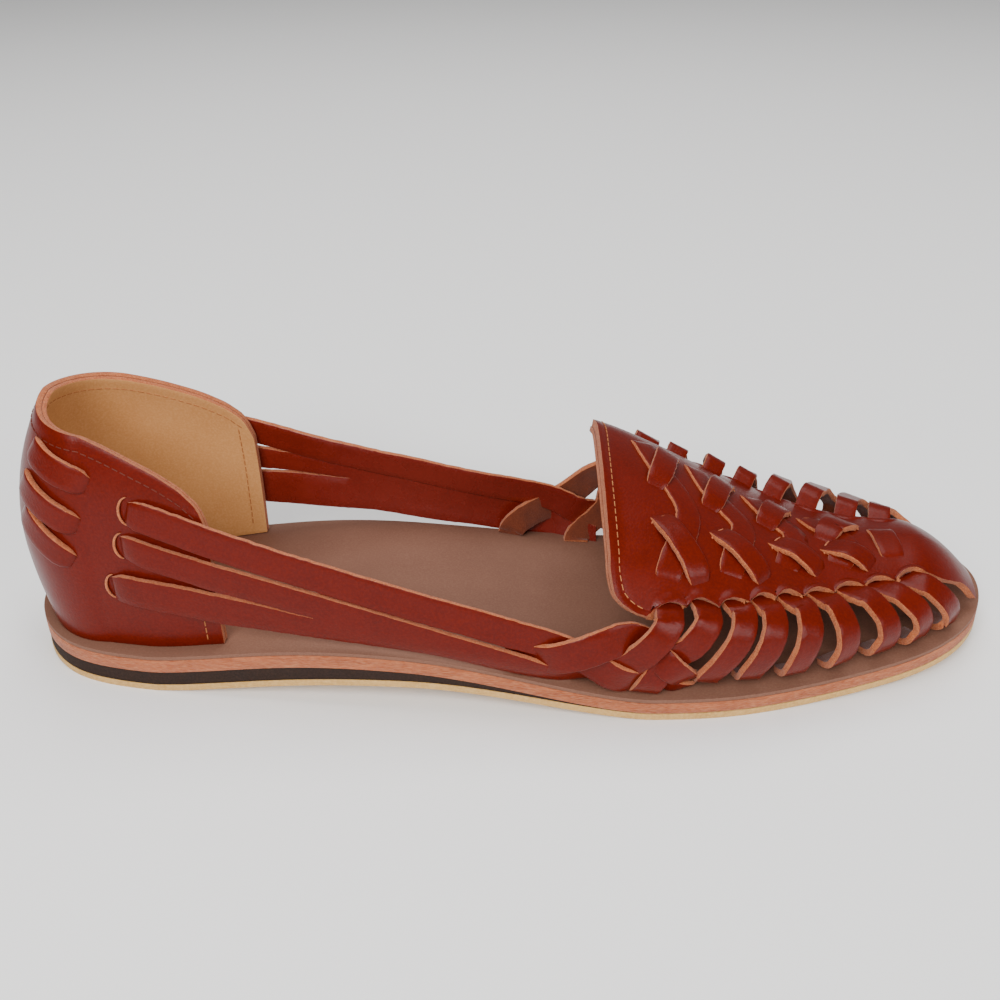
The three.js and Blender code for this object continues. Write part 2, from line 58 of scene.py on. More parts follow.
NUDGE = 0.5  # step, in millimetres or degrees, over which a surface's direction is read
STEP_ROUND = 0.004  # the same as a share of the way round the counter

Piece = bpy.types.Object
Material = bpy.types.Material
Row = tuple[float, ...]
Spot = tuple[Vector, Vector]
Line = Callable[[float], float]
Place = Callable[[float, float], Vector]


class Side(Enum):
    """Side of the foot a piece lies on."""

    OUTER = "outer"
    INNER = "inner"


class Stock(Enum):
    """Leather that straps are cut from, by its thickness in millimetres."""

    SIDE = 1.8
    WEAVE = 1.7
    LONG = 1.4


# ---- curves ----
class Curve:
    """Smooth line through the points of a short table."""

    def __init__(self, points: Mapping[float, float]) -> None:
        """Sorts the points and works out a slope at each.

        Args:
            points: values by place.
        """
        self.xs = xs = sorted(points)
        self.ys = ys = [points[x] for x in xs]
        rise = [(d - c) / (b - a) for a, b, c, d in zip(xs, xs[1:], ys, ys[1:])]
        inner = [(p * (c - b) + q * (b - a)) / ((b - a) + (c - b))
                 for a, b, c, p, q in zip(xs, xs[1:], xs[2:], rise, rise[1:])]
        self.slopes = [1.5 * rise[0] - 0.5 * inner[0], *inner, 1.5 * rise[-1] - 0.5 * inner[-1]]

    def __call__(self, x: float) -> float:
        """Value at x, held at the ends.

        Args:
            x: where to read the curve.

        Returns:
            The value there.
        """
        xs, ys, slopes = self.xs, self.ys, self.slopes
        at = min(max(x, xs[0]), xs[-1])
        i = 0
        while i < len(xs) - 2 and xs[i + 1] < at:
            i += 1
        span = xs[i + 1] - xs[i]
        t = (at - xs[i]) / span
        s = 1.0 - t
        return (ys[i] * (1 + 2 * t) * s * s + slopes[i] * span * t * s * s
                + ys[i + 1] * (1 + 2 * s) * t * t - slopes[i + 1] * span * s * t * t)


def clamp01(value: float) -> float:
    """Value held between 0 and 1."""
    return min(1.0, max(0.0, value))


def part_way(value: float, start: float, end: float) -> float:
    """Share of the way from start to end, held between 0 and 1."""
    return clamp01((value - start) / (end - start))


def ramp(value: float, start: float, end: float) -> float:
    """Smooth step from 0 at start to 1 at end."""
    t = part_way(value, start, end)
    return t * t * (3 - 2 * t)


def bell(away: float, width: float) -> float:
    """Falls smoothly from 1 at no distance to almost nothing at twice the width."""
    return math.exp(-(away / width) ** 2)


# ---- the shoe's own shape ----
@dataclass
class SoleShape:
    """Outline and height lines of the sole, with places along it as shares of its length."""

    length: float = 262.0
    heel_radius: float = 32.0
    toe_radius_outer: float = 30.0
    toe_radius_inner: float = 22.0
    toe_swing: float = 7.4
    swing_start: float = 0.45
    arch_height: float = 7.2
    arch_from: float = 0.14
    arch_to: float = 0.64
    arch_power: float = 1.35
    spring_height: float = 5.1
    spring_from: float = 0.72
    spring_power: float = 1.8
    heel_lift: float = 1.5
    heel_lift_to: float = 0.06
    heel_lift_power: float = 1.5
    stack_heel: float = 10.9
    stack_toe: float = 6.3
    stack_from: float = 0.25
    stack_to: float = 0.63
    stations: Row = (0.10, 0.40, 0.70, 0.88)
    outer: Row = (30.0, 38.5, 42.3, 33.0)
    inner: Row = (30.0, 27.2, 38.4, 35.3)

    def __post_init__(self) -> None:
        """Prepares the two half-width curves."""
        self._outer = self._ratio(self.outer, self.toe_radius_outer)
        self._inner = self._ratio(self.inner, self.toe_radius_inner)

    @staticmethod
    def _envelope(share: float) -> float:
        """Half ellipse that rounds both ends of the sole."""
        return math.sqrt(max(0.0, 4 * share * (1 - share)))

    def _ratio(self, widths: Row, toe_radius: float) -> Curve:
        """Half width over the envelope, which stays finite at both ends.

        Args:
            widths: half widths at the stations.
            toe_radius: end radius at the toe.

        Returns:
            The ratio along the sole.
        """
        heel, toe = (math.sqrt(r * self.length / 2) for r in (self.heel_radius, toe_radius))
        middle = {s: w / self._envelope(s) for s, w in zip(self.stations, widths)}
        return Curve({0.0: heel, **middle, 1.0: toe})

    def edges(self, x: float) -> tuple[float, float]:
        """Outer and inner edge of the sole at a station.

        Args:
            x: station in millimetres.

        Returns:
            The two y values.
        """
        share = clamp01(x / self.length)
        centre = self.toe_swing * part_way(share, self.swing_start, 1) ** 2
        wide = self._envelope(share)
        return centre - self._outer(share) * wide, centre + self._inner(share) * wide

    def floor(self, x: float) -> float:
        """Height of the sole's underside.

        Args:
            x: station in millimetres.

        Returns:
            Height over the floor.
        """
        share = x / self.length
        turn = math.pi * part_way(share, self.arch_from, self.arch_to)
        arch = max(0.0, math.sin(turn)) ** self.arch_power
        spring = part_way(share, self.spring_from, 1) ** self.spring_power
        lift = part_way(share, self.heel_lift_to, 0) ** self.heel_lift_power
        return self.arch_height * arch + self.spring_height * spring + self.heel_lift * lift

    def tapered(self, heel: float, toe: float, x: float) -> float:
        """A thickness that changes through the waist from its heel to its toe value."""
        return heel + (toe - heel) * ramp(x / self.length, self.stack_from, self.stack_to)

    def footbed(self, x: float) -> float:
        """Height of the insole's top."""
        return self.floor(x) + self.tapered(self.stack_heel, self.stack_toe, x)


# Sections of the last by station: each column's value in millimetres, and the fullness as a power.
LAST_COLUMNS = ("x", "ridge", "outer", "inner", "crown", "waist", "fullness")
LAST_ROWS = (
    (25, 0, -26, 26.4, 87, 30, 1), (40, 0, -28.2, 28.2, 88, 30, 1), (57, 0, -29.8, 28.8, 86, 30, 1),
    (80, 2, -33.2, 27.6, 80, 28, 1), (100, 4, -36.2, 27.6, 73, 25, 1), (120, 7, -38.6, 29, 66, 22, 1),
    (140, 11, -40, 32, 59, 20, 0.98), (157, 13, -40.6, 35, 54, 18, 0.95), (172, 10, -40, 37, 47.2, 18, 0.95),
    (189, 5.5, -38.2, 38, 38.6, 18, 1.02), (209, 2.5, -34, 36.7, 30.8, 17.5, 1.2),
    (225, 2, -27.5, 35, 28.2, 17, 1.45), (233, 2, -24, 31.5, 27.8, 16.5, 1.4),
    (243, 2, -17.5, 25, 27.2, 16, 1.3), (250, 2, -12, 20, 23, 15, 1.3), (257, 2, -6.5, 11, 16, 12.5, 1.2),
    (260, 2, -3, 7, 12.5, 12, 1.2),
)
# Back of the heel by height, and height of the counter's rim by station.
HEEL_BACK = {10: 3.4, 25: 0.4, 39: -0.4, 55: 2.6, 74: 11}
RIM = {57: 46, 55.5: 51, 52: 55.8, 47: 59.5, 38: 64, 25: 69, 0: 73.5}
# Angles of the vamp panel's two long edges by station.
PANEL_OUTER = {155: 19, 166.8: 20.7, 175.1: 25.9, 183.4: 28.5, 191.4: 32.7, 198.4: 37.7, 205.8: 40.3,
               214.4: 43.7, 223.4: 46.1, 231.9: 47.4, 240.6: 49.5, 245: 42.5, 249.4: 40.5, 252.5: 41,
               254.7: 35, 256: 25, 257: 16}
PANEL_INNER = {155: 136, 172: 134, 189: 130, 206: 126, 223: 124, 240: 126, 250: 134, 257: 146}
# How far the inner thongs stand back from the outer ones and rise off the last, by station.
INNER_THONGS = {148: (0, 0), 160: (4, 0), 171: (9, 1), 189: (10.5, 2), 196: (7.5, 2.8), 203: (6, 2.5),
                210: (4.4, 2.9), 218: (3, 3.4), 227: (1.4, 2.4), 236: (0.6, 1.4), 250: (0, 0)}


@dataclass
class Last:
    """The foot form that the upper is built over.

    A place on it is a station x and an angle round the section: 0 outer side, 90 crown, 180 inner side.
    """

    sole: SoleShape
    foot_angle: float = 22.0
    tuck_heel: float = 0.2
    tuck_from: float = 57.0
    tuck_to: float = 150.0
    heel_round: float = 25.0
    heel_power: float = 2.05
    counter_front: float = 57.0
    straight: float = 0.45
    climb_from: float = 148.0
    climb_to: float = 168.0
    thong_foot: float = -12.0
    thong_free: float = 22.0

    def __post_init__(self) -> None:
        """Prepares the section curves."""
        self.inner_back, self.inner_rise = (
            Curve({x: row[k] for x, row in INNER_THONGS.items()}) for k in (0, 1))
        self.section = {key: Curve({row[0]: row[k] for row in LAST_ROWS})
                        for k, key in enumerate(LAST_COLUMNS) if k}
        self.back, self.rim = Curve(HEEL_BACK), Curve(RIM)
        self.panel_outer, self.panel_inner = Curve(PANEL_OUTER), Curve(PANEL_INNER)

    def point(self, x: float, angle: float) -> Vector:
        """Point of the last's surface.

        Args:
            x: station.
            angle: degrees round the section.

        Returns:
            The point in millimetres.
        """
        s = {key: curve(x) for key, curve in self.section.items()}
        rise, out = math.sin(math.radians(angle)), math.cos(math.radians(angle))
        side, power = ("inner", s["fullness"]) if out < 0 else ("outer", 1.0)
        reach = abs(out) ** power
        if rise >= 0:
            height = (s["crown"] - s["waist"]) * rise ** power
        else:
            height = (s["waist"] - self.sole.footbed(x)) * rise / math.sin(math.radians(self.foot_angle))
            share = part_way(x, self.tuck_from, self.tuck_to)
            reach = 1 - (self.tuck_heel + (1 - self.tuck_heel) * share) * (1 - reach)
        return Vector((x, s["ridge"] + (s[side] - s["ridge"]) * reach, s["waist"] + height))

    def normal(self, x: float, angle: float) -> Vector:
        """Outward direction of the last's surface.

        Args:
            x: station.
            angle: degrees round the section.

        Returns:
            A unit vector.
        """
        along = self.point(x + NUDGE, angle) - self.point(x - NUDGE, angle)
        around = self.point(x, angle + NUDGE) - self.point(x, angle - NUDGE)
        return along.cross(around).normalized()

    def wall_angle(self, x: float, z: float) -> float:
        """Angle at which the outer wall has a height.

        Args:
            x: station.
            z: height over the floor.

        Returns:
            Degrees round the section.
        """
        waist, crown = self.section["waist"](x), self.section["crown"](x)
        if z >= waist:
            return math.degrees(math.asin(part_way(z, waist, crown)))
        drop = math.sin(math.radians(self.foot_angle)) / (waist - self.sole.footbed(x))
        return -math.degrees(math.asin(min(1.0, (waist - z) * drop)))

    def strap_place(self, side: Side, x: float, angle: float, off: float) -> Spot:
        """Middle of a strap and the wall's direction there.

        The inner side's thongs stand further back and its panel edge sits higher, so their wall is stretched.

        Args:
            side: side of the foot.
            x: station of the outer side.
            angle: degrees of the outer side.
            off: distance from the last.

        Returns:
            The point and a unit vector.
        """
        if side is Side.INNER:
            share = part_way(angle, self.thong_foot, self.thong_free)
            off += self.inner_rise(x) * (share ** 2 if off > 0 else 0)
            x -= self.inner_back(x) * share
            if angle > 0:
                climb = (180 - self.panel_inner(x)) / self.panel_outer(x) - 1
                angle *= 1 + part_way(x, self.climb_from, self.climb_to) * climb
            angle = 180 - angle
        normal = self.normal(x, angle)
        return self.point(x, angle) + normal * off, normal

    def front_station(self, turn: float) -> float:
        """Station of the counter's wall ahead of the heel's round back."""
        return self.heel_round + (self.counter_front - self.heel_round) * part_way(turn, self.straight, 1)

    def counter(self, around: float, z: float) -> Vector:
        """Point of the heel counter's outside.

        Args:
            around: 0 at the outer front edge, 0.5 at the back of the heel, 1 at the inner front edge.
            z: height over the floor.

        Returns:
            The point in millimetres.
        """
        turn = abs(around - 0.5) * 2
        x = self.front_station(turn)
        lean = self.wall_angle(x, z)
        side = self.point(x, 180 - lean if around > 0.5 else lean)
        if turn > self.straight:
            return side
        swing = math.radians(90 * turn / self.straight)
        depth = self.heel_round - self.back(z)
        back = self.heel_round - depth * math.cos(swing) ** (2 / self.heel_power)
        return Vector((back, side.y * math.sin(swing) ** (2 / self.heel_power), z))

    def counter_rim(self, around: float) -> float:
        """Height of the counter's rim.

        Args:
            around: place round the counter.

        Returns:
            Height over the floor.
        """
        turn = abs(around - 0.5) * 2
        low = self.rim(self.front_station(turn))
        if turn > self.straight:
            return low
        return low + (self.rim(0) - low) * (1 - turn / self.straight)

    def counter_spot(self, around: float, z: float) -> Spot:
        """Point and outward direction of the counter's outside.

        Args:
            around: place round the counter.
            z: height over the floor.

        Returns:
            The point and a unit vector.
        """
        a = min(max(around, STEP_ROUND), 1 - STEP_ROUND)
        along = self.counter(a + STEP_ROUND, z) - self.counter(a - STEP_ROUND, z)
        up = self.counter(a, z + NUDGE) - self.counter(a, z - NUDGE)
        return self.counter(around, z), up.cross(along).normalized()


SOLE = SoleShape()
LAST = Last(SOLE)
SHIFT = Vector((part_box("outsole")[0].x / MM, 0.0, 0.0))


# ---- mesh helpers ----
def make_active(piece: Optional[Piece] = None) -> None:
    """Deselects everything, so that an operator acts on one piece only, and selects that piece.

    Args:
        piece: the object, or none where a primitive is to be added.
    """
    bpy.ops.object.select_all(action="DESELECT")
    if piece:
        piece.select_set(True)
        bpy.context.view_layer.objects.active = piece


def cut_sheet(name: str, columns: int, rows: int, place: Place) -> Piece:
    """Adds a flat grid and lays it where the shoe's shape says.

    Args:
        name: name of the piece.
        columns: faces along the sheet.
        rows: faces across it.
        place: gives each corner's point in shoe millimetres from its two shares along the sheet.

    Returns:
        The new object.
    """
    make_active()
    bpy.ops.mesh.primitive_grid_add(x_subdivisions=columns, y_subdivisions=rows, size=2.0)
    piece = bpy.context.object
    piece.name = piece.data.name = name
    for vertex in piece.data.vertices:
        u, v = (vertex.co.x + 1) / 2, (vertex.co.y + 1) / 2
        vertex.co = (place(clamp01(u), clamp01(v)) + SHIFT) * MM
    return piece


def merge(piece: Piece, outwards: bool = True, capped: bool = False) -> None:
    """Makes doubled corners one.

    Args:
        piece: the object.
        outwards: whether to turn its faces outwards.
        capped: whether to close its open end first.
    """
    make_active(piece)
    bpy.ops.object.mode_set(mode="EDIT")
    bpy.ops.mesh.select_all(action="SELECT")
    bpy.ops.mesh.remove_doubles(threshold=MERGE)
    if capped:
        bpy.ops.mesh.select_all(action="DESELECT")
        bpy.ops.mesh.select_non_manifold()
        bpy.ops.mesh.edge_face_add()
        bpy.ops.mesh.select_all(action="SELECT")
    if outwards:
        bpy.ops.mesh.normals_make_consistent(inside=False)
    bpy.ops.object.mode_set(mode="OBJECT")


def add_modifier(piece: Piece, kind: str, **settings: object) -> None:
    """Adds a modifier and applies it at once.

    Args:
        piece: the object.
        kind: modifier type.
        settings: its settings.
    """
    make_active(piece)
    modifier = piece.modifiers.new(kind.title(), kind)
    for key, value in settings.items():
        setattr(modifier, key, value)
    bpy.ops.object.modifier_apply(modifier=modifier.name)


def ease(piece: Piece, rounding: float, angle: float = SMOOTH) -> None:
    """Rounds a piece's sharp edges by so many millimetres."""
    add_modifier(piece, "BEVEL", width=rounding * MM, segments=2, limit_method="ANGLE", angle_limit=angle)


def thicken(piece: Piece, thickness: float, rounding: float, materials: Sequence[Material]) -> Piece:
    """Gives a sheet its leather thickness, eases its cut edges and mounts it.

    Args:
        piece: the sheet.
        thickness: millimetres.
        rounding: width of the eased edge in millimetres.
        materials: grain side, flesh side and cut edge.

    Returns:
        The same piece.
    """
    for material in materials:
        piece.data.materials.append(material)
    add_modifier(piece, "SOLIDIFY", thickness=thickness * MM, offset=0.0,
                 material_offset=1, material_offset_rim=2)
    ease(piece, rounding)
    merge(piece, outwards=False)
    bpy.ops.object.shade_smooth_by_angle(angle=SMOOTH)
    mount(piece)
    return piece


def wobble(point: Vector, scale: float, seed: float = 0.0) -> float:
    """Repeatable unevenness of hand-cut leather.

    Args:
        point: place in shoe millimetres.
        scale: size of the unevenness in millimetres.
        seed: shifts the pattern.

    Returns:
        A value from about -1 to 1.
    """
    return noise.noise(point / scale + Vector((seed, 0.37 * seed, -seed)))


def mount(piece: Piece, material: Optional[Material] = None) -> None:
    """Makes a piece ride on the shoe, and dresses it where it has one material.

    Args:
        piece: the object.
        material: its only material.
    """
    if material:
        piece.data.materials.append(material)
    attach(piece, BODY)


# ---- materials ----
def srgb(code: str) -> Row:
    """Turns an sRGB hex colour to linear light.

    Args:
        code: six hex digits.

    Returns:
        Red, green, blue and alpha.
    """
    parts = [int(code[i:i + 2], 16) / 255 for i in (0, 2, 4)]
    linear = [c / 12.92 if c <= 0.04045 else ((c + 0.055) / 1.055) ** 2.4 for c in parts]
    return (*linear, 1.0)


def add_node(tree: bpy.types.NodeTree, kind: str, settings: Optional[dict] = None,
             inputs: Optional[dict] = None) -> bpy.types.Node:
    """Adds a node with its settings, values and links.

    Args:
        tree: the material's node tree.
        kind: node type.
        settings: attributes of the node.
        inputs: values, or output sockets to link, by input name or number.

    Returns:
        The node.
    """
    node = tree.nodes.new(kind)
    for key, value in (settings or {}).items():
        setattr(node, key, value)
    for key, value in (inputs or {}).items():
        if isinstance(value, bpy.types.NodeSocket):
            tree.links.new(value, node.inputs[key])
        else:
            node.inputs[key].default_value = value
    return node


@dataclass(frozen=True)
class Finish:
    """A surface finish: three tones, a grain and how it takes the light.

    The patches, grain and flecks are cloudy patterns of a real size in millimetres.
    """

    name: str
    tone: str
    dark: str
    light: str
    roughness: float
    patch_mm: float
    grain_mm: float
    relief_mm: float
    specular: float = 0.5
    coat: float = 0.0
    coat_roughness: float = 0.3
    sheen: float = 0.0
    fleck_mm: float = 0.0
    fleck: str = "000000"
    fleck_share: float = 0.0
    stretch: Row = (1.0, 1.0, 1.0)
    rubbed: float = 0.07
    pore: float = 0.8

    def build(self) -> Material:
        """Makes the material.

        Returns:
            The material.
        """
        material = bpy.data.materials.new(self.name)
        material.use_nodes = True
        tree = material.node_tree
        tree.nodes.clear()
        place = add_node(tree, "ShaderNodeTexCoord").outputs["Object"]
        place = add_node(tree, "ShaderNodeMapping", inputs={
            "Vector": place, "Scale": self.stretch}).outputs[0]
        # Each layer: pattern size, octaves, the part of the pattern it fades in over, its strength and tone.
        layers = [(self.patch_mm, 3.0, 0.2, 0.8, 1.0, self.tone),
                  (self.grain_mm, 4.0, 0.4, 0.75, 0.6, self.light),
                  (self.fleck_mm, 2.0, 0.58, 0.72, self.fleck_share, self.fleck)]
        colour, patterns = srgb(self.dark), []
        for size, detail, low, high, strength, tone in layers[:3 if self.fleck_share else 2]:
            patterns.append(add_node(tree, "ShaderNodeTexNoise", inputs={
                "Vector": place, "Scale": 1 / (size * MM), "Detail": detail}).outputs["Fac"])
            share = add_node(tree, "ShaderNodeMapRange", inputs={
                "Value": patterns[-1], "From Min": low, "From Max": high, "To Max": strength}).outputs[0]
            colour = add_node(tree, "ShaderNodeMix", {"data_type": "RGBA"}, {
                "Factor": share, 6: colour, 7: srgb(tone)}).outputs[2]
        # Pores lie over the grain's soft unevenness.
        cells = add_node(tree, "ShaderNodeTexVoronoi", inputs={
            "Vector": place, "Scale": 1 / (self.grain_mm * self.pore * MM)}).outputs["Distance"]
        height = add_node(tree, "ShaderNodeMath", {"operation": "ADD"}, {0: patterns[1], 1: cells}).outputs[0]
        bump = add_node(tree, "ShaderNodeBump", inputs={
            "Height": height, "Strength": 1.0, "Distance": self.relief_mm * MM}).outputs[0]
        rough = add_node(tree, "ShaderNodeMapRange", inputs={
            "Value": patterns[0], "From Min": 0.2, "From Max": 0.8,
            "To Min": self.roughness - self.rubbed, "To Max": self.roughness + self.rubbed}).outputs[0]
        shader = add_node(tree, "ShaderNodeBsdfPrincipled", inputs={
            "Base Color": colour, "Roughness": rough, "Normal": bump,
            "Specular IOR Level": self.specular, "Coat Weight": self.coat,
            "Coat Roughness": self.coat_roughness, "Sheen Weight": self.sheen})
        add_node(tree, "ShaderNodeOutputMaterial", inputs={"Surface": shader.outputs[0]})
        return material


class Finishes:
    """Every finish of the shoe, each built once."""

    def __init__(self) -> None:
        """Builds the materials."""
        # Chrome-tanned cowhide, dyed through and plated glossy: fine pores under a thin waxy coat.
        self.grain_leather = Finish("glazed_cowhide_grain", "5a0c00", "500900", "681200", 0.33, 9.0, 0.7,
                                    0.03, specular=0.14, coat=0.07, coat_roughness=0.2).build()
        # The same hide's cut edge, undyed inside: dry tan fibres that catch the light as fluff.
        self.cut_edge = Finish("raw_cowhide_edge", "b06038", "8e4526", "cf8a60", 0.85, 1.6, 0.35, 0.12,
                               specular=0.15, sheen=0.1, fleck_mm=0.8, fleck="6f2c14",
                               fleck_share=0.5).build()
        # Its flesh side, split and brushed: a brown nap with no shine.
        self.flesh_side = Finish("split_flesh_suede", "6c321e", "582616", "80442c", 0.95, 3.0, 0.3, 0.08,
                                 specular=0.1, sheen=0.2).build()
        # The flesh side of the long straps, waxed and rubbed smooth: a darker red with a soft shine.
        self.waxed_flesh = Finish("waxed_flesh_side", "6c160a", "60120a", "781e12", 0.27, 6.0, 0.5, 0.03,
                                  specular=0.5, coat=0.3, coat_roughness=0.25).build()
        # Vegetable-tanned lining calf, plain finished: smooth honey tan, gently mottled.
        self.lining = Finish("veg_tan_lining", "c88e56", "bc824c", "d49e68", 0.5, 14.0, 0.6, 0.02,
                             specular=0.35).build()
        # Brushed insole leather, mauve brown and matt.
        self.footbed = Finish("brushed_insole_leather", "755040", "6b4738", "805b4a", 0.6, 18.0, 0.5, 0.02,
                              specular=0.25).build()
        # Bend leather midsole, sanded at the edge: salmon tan fibre in layers along the sole.
        self.bend_edge = Finish("sanded_bend_leather", "ac5e38", "803c20", "c88860", 0.85, 4.0, 0.5, 0.12,
                                specular=0.2, sheen=0.15, fleck_mm=1.0, fleck="8a3c22", fleck_share=0.6,
                                stretch=(0.3, 0.3, 2.4)).build()
        # Microcellular rubber wedge, dark brown and dull, with fine buffing marks.
        self.wedge = Finish("microcellular_rubber", "2a1c15", "20140f", "38261e", 0.85, 6.0, 0.5, 0.05,
                            specular=0.25).build()
        # Crepe rubber outsole, amber and slightly milky.
        self.crepe = Finish("amber_crepe_rubber", "c49a5c", "b2884a", "d6b074", 0.6, 8.0, 0.8, 0.05,
                            specular=0.35).build()
        # Waxed linen thread, tan, in short bright stitches.
        self.thread = Finish("waxed_linen_thread", "a8683c", "90542c", "c28450", 0.6, 2.0, 0.3, 0.03,
                             specular=0.3).build()
        # The same thread dyed to the leather: it only shows by its shadow and a dull gleam.
        self.red_thread = Finish("dyed_linen_thread", "5c2010", "48170b", "743020", 0.55, 2.0, 0.3, 0.03,
                                 specular=0.3).build()

    def hide(self, stock: Stock) -> tuple[Material, Material, Material]:
        """Grain side, flesh side and cut edge of a stock."""
        return self.grain_leather, self.waxed_flesh if stock is Stock.LONG else self.flesh_side, self.cut_edge


# ---- sole ----
@dataclass
class SoleStack:
    """The four layers under the foot."""

    finishes: Finishes
    outsole: float = 1.8
    insole: float = 1.1
    midsole_heel: float = 3.5
    midsole_toe: float = 2.8
    gap: float = 0.3
    wedge_tip: float = 0.25
    wedge_inset: float = 0.25
    insole_inset: float = 0.15
    columns: int = 150
    across: int = 10
    side: int = 3
    rounding: float = 0.35

    def _heights(self, x: float) -> dict[str, tuple[float, float]]:
        """Heights of each layer's underside and top.

        Args:
            x: station.

        Returns:
            The two heights by the layer's name.
        """
        floor, footbed = SOLE.floor(x), SOLE.footbed(x)
        insole = footbed - self.insole
        midsole = insole - SOLE.tapered(self.midsole_heel, self.midsole_toe, x) - self.gap
        return {"outsole": (floor, floor + self.outsole), "heel_wedge": (floor + self.outsole, midsole),
                "midsole": (midsole, insole), "insole": (insole, footbed)}

    def _layer(self, name: str, end: float, inset: float, material: Material) -> None:
        """Builds one layer as a closed slab with eased edges.

        Args:
            name: the CAD node it stands for.
            end: last station of the layer.
            inset: how far its edge lies inside the sole's outline.
            material: its finish.
        """
        n, m, whole = self.across, self.side, end == SOLE.length
        # Corners once round the section, as shares of its width and height.
        loop = [*((-1 + 2 * i / n, 0.0) for i in range(n)), *((1.0, i / m) for i in range(m)),
                *((1 - 2 * i / n, 1.0) for i in range(n)), *((-1.0, 1 - i / m) for i in range(m))]

        def place(u: float, v: float) -> Vector:
            """Corner of the slab: u along the sole, v round its section."""
            x = end * (1 - math.cos(math.pi * u)) / 2 if whole else end * (1 - math.cos(math.pi / 2 * u))
            outer, inner = SOLE.edges(x)
            middle, half = (outer + inner) / 2, max(0.0, (inner - outer) / 2 - inset)
            side, up = loop[int(round(v * len(loop))) % len(loop)]
            low, high = self._heights(x)[name]
            return Vector((x, middle + side * half, low + (high - low) * up))

        piece = cut_sheet("detailed_" + name, self.columns, len(loop), place)
        merge(piece, capped=not whole)
        ease(piece, self.rounding, math.radians(60))
        bpy.ops.object.shade_smooth_by_angle(angle=math.radians(45))
        mount(piece, material)
        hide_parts(name)

    def build(self) -> None:
        """Builds the four layers; the wedge ends where it has thinned to its tip."""
        f, end = self.finishes, SOLE.length * SOLE.stack_to
        while end > 0:
            under, top = self._heights(end)["heel_wedge"]
            if top - under >= self.wedge_tip:
                break
            end -= 0.5
        self._layer("outsole", SOLE.length, 0.0, f.crepe)
        self._layer("heel_wedge", end, self.wedge_inset, f.wedge)
        self._layer("midsole", SOLE.length, 0.0, f.bend_edge)
        self._layer("insole", SOLE.length, self.insole_inset, f.footbed)


# ---- straps ----
@dataclass
class StrapMaker:
    """Cuts, bends and finishes flat leather straps.

    A strap's rows are stations along it: x, angle round the last, offset from it, width and, where the
    strap rolls about its own line, twist in degrees.
    """

    finishes: Finishes
    rounding: float = 0.4
    across: int = 4
    step: float = 0.9
    ragged: float = 0.2
    marks: int = 60
    look: float = 0.02
    rim_lift: float = 0.35
    rim_columns: int = 14
    rim_sides: int = 8

    def lay(self, name: str, rows: Sequence[Row], side: Side = Side.OUTER, stock: Stock = Stock.SIDE,
            hold: Optional[float] = None) -> Piece:
        """Lays a strap over the last.

        Args:
            name: name of the strap.
            rows: stations along the strap.
            side: side of the foot.
            stock: the leather it is cut from.
            hold: row number after which the strap only curls and no longer turns.

        Returns:
            The finished strap.
        """
        x, angle, off, width, twist = (
            Curve({i: (*row, 0.0)[k] for i, row in enumerate(rows)}) for k in range(5))
        lean = -1.0 if side is Side.INNER else 1.0
        return self.bend(name, lambda i: LAST.strap_place(side, x(i), angle(i), off(i)), width, len(rows) - 1,
                         stock, lambda i: lean * math.radians(twist(i)), hold)

    def bend(self, name: str, centre: Callable[[float], Spot], width: Line, span: float,
             stock: Stock = Stock.SIDE, twist: Line = lambda i: 0.0, hold: Optional[float] = None) -> Piece:
        """Makes a strap along any centre line.

        Args:
            name: name of the strap.
            centre: gives the middle point and outward direction at a row number.
            width: gives the width at a row number.
            span: last row number.
            stock: the leather it is cut from.
            twist: gives the roll about the centre line at a row number.
            hold: row number after which the strap only curls and no longer turns.

        Returns:
            The finished strap.
        """
        marks = [centre(span * k / self.marks)[0] for k in range(self.marks + 1)]
        length = sum((b - a).length for a, b in zip(marks, marks[1:]))
        seed = float(sum(ord(letter) for letter in name) % 97)

        def place(u: float, v: float) -> Vector:
            """Corner of the strap: u along it, v across it."""
            middle = centre(span * u)[0]
            i = min(span * u, span if hold is None else hold)
            normal = centre(i)[1]
            ahead = centre(min(span, i + self.look))[0] - centre(max(0.0, i - self.look))[0]
            across = normal.cross(ahead.normalized()).normalized()
            out = (across * math.cos(twist(i)) - normal * math.sin(twist(i))) * (2 * v - 1)
            point = middle + out * (width(span * u) / 2)
            return point + out * self.ragged * wobble(point, 1.0, seed) if v < 0.01 or v > 0.99 else point

        piece = cut_sheet(name, max(8, int(length / self.step)), self.across, place)
        return thicken(piece, stock.value, self.rounding, self.finishes.hide(stock))

    def rim(self, name: str, spot: Spot, along: Vector, width: float, depth: float, size: float,
            slot: str = "strap_leather") -> Piece:
        """Cut rim of a slot, pushed up round the strap that comes out of it.

        Args:
            name: name of the rim.
            spot: middle of the slot and outward direction.
            along: direction in which the strap leaves the slot.
            width: width of the slot.
            depth: how far the rim arches back from the strap.
            size: half thickness of the rim.
            slot: not used.

        Returns:
            The rim.
        """
        centre, normal = spot
        back = -(along - normal * along.dot(normal)).normalized()
        across = normal.cross(back).normalized()

        def place(u: float, v: float) -> Vector:
            """Corner of the rim: u along its arc, v round its section."""
            turn, section = math.pi * u, 2 * math.pi * v
            bulge = math.sin(turn)
            path = (centre + across * math.cos(turn) * width / 2 + back * depth * bulge
                    + normal * self.rim_lift * bulge)
            out = (across * math.cos(turn) * depth + back * bulge * width / 2).normalized()
            thick = size * max(0.0, bulge) ** 0.5
            return path + (out * math.cos(section) + normal * math.sin(section)) * thick

        piece = cut_sheet(name, self.rim_columns, self.rim_sides, place)
        merge(piece)
        bpy.ops.object.shade_smooth()
        mount(piece, self.finishes.cut_edge)
        return piece


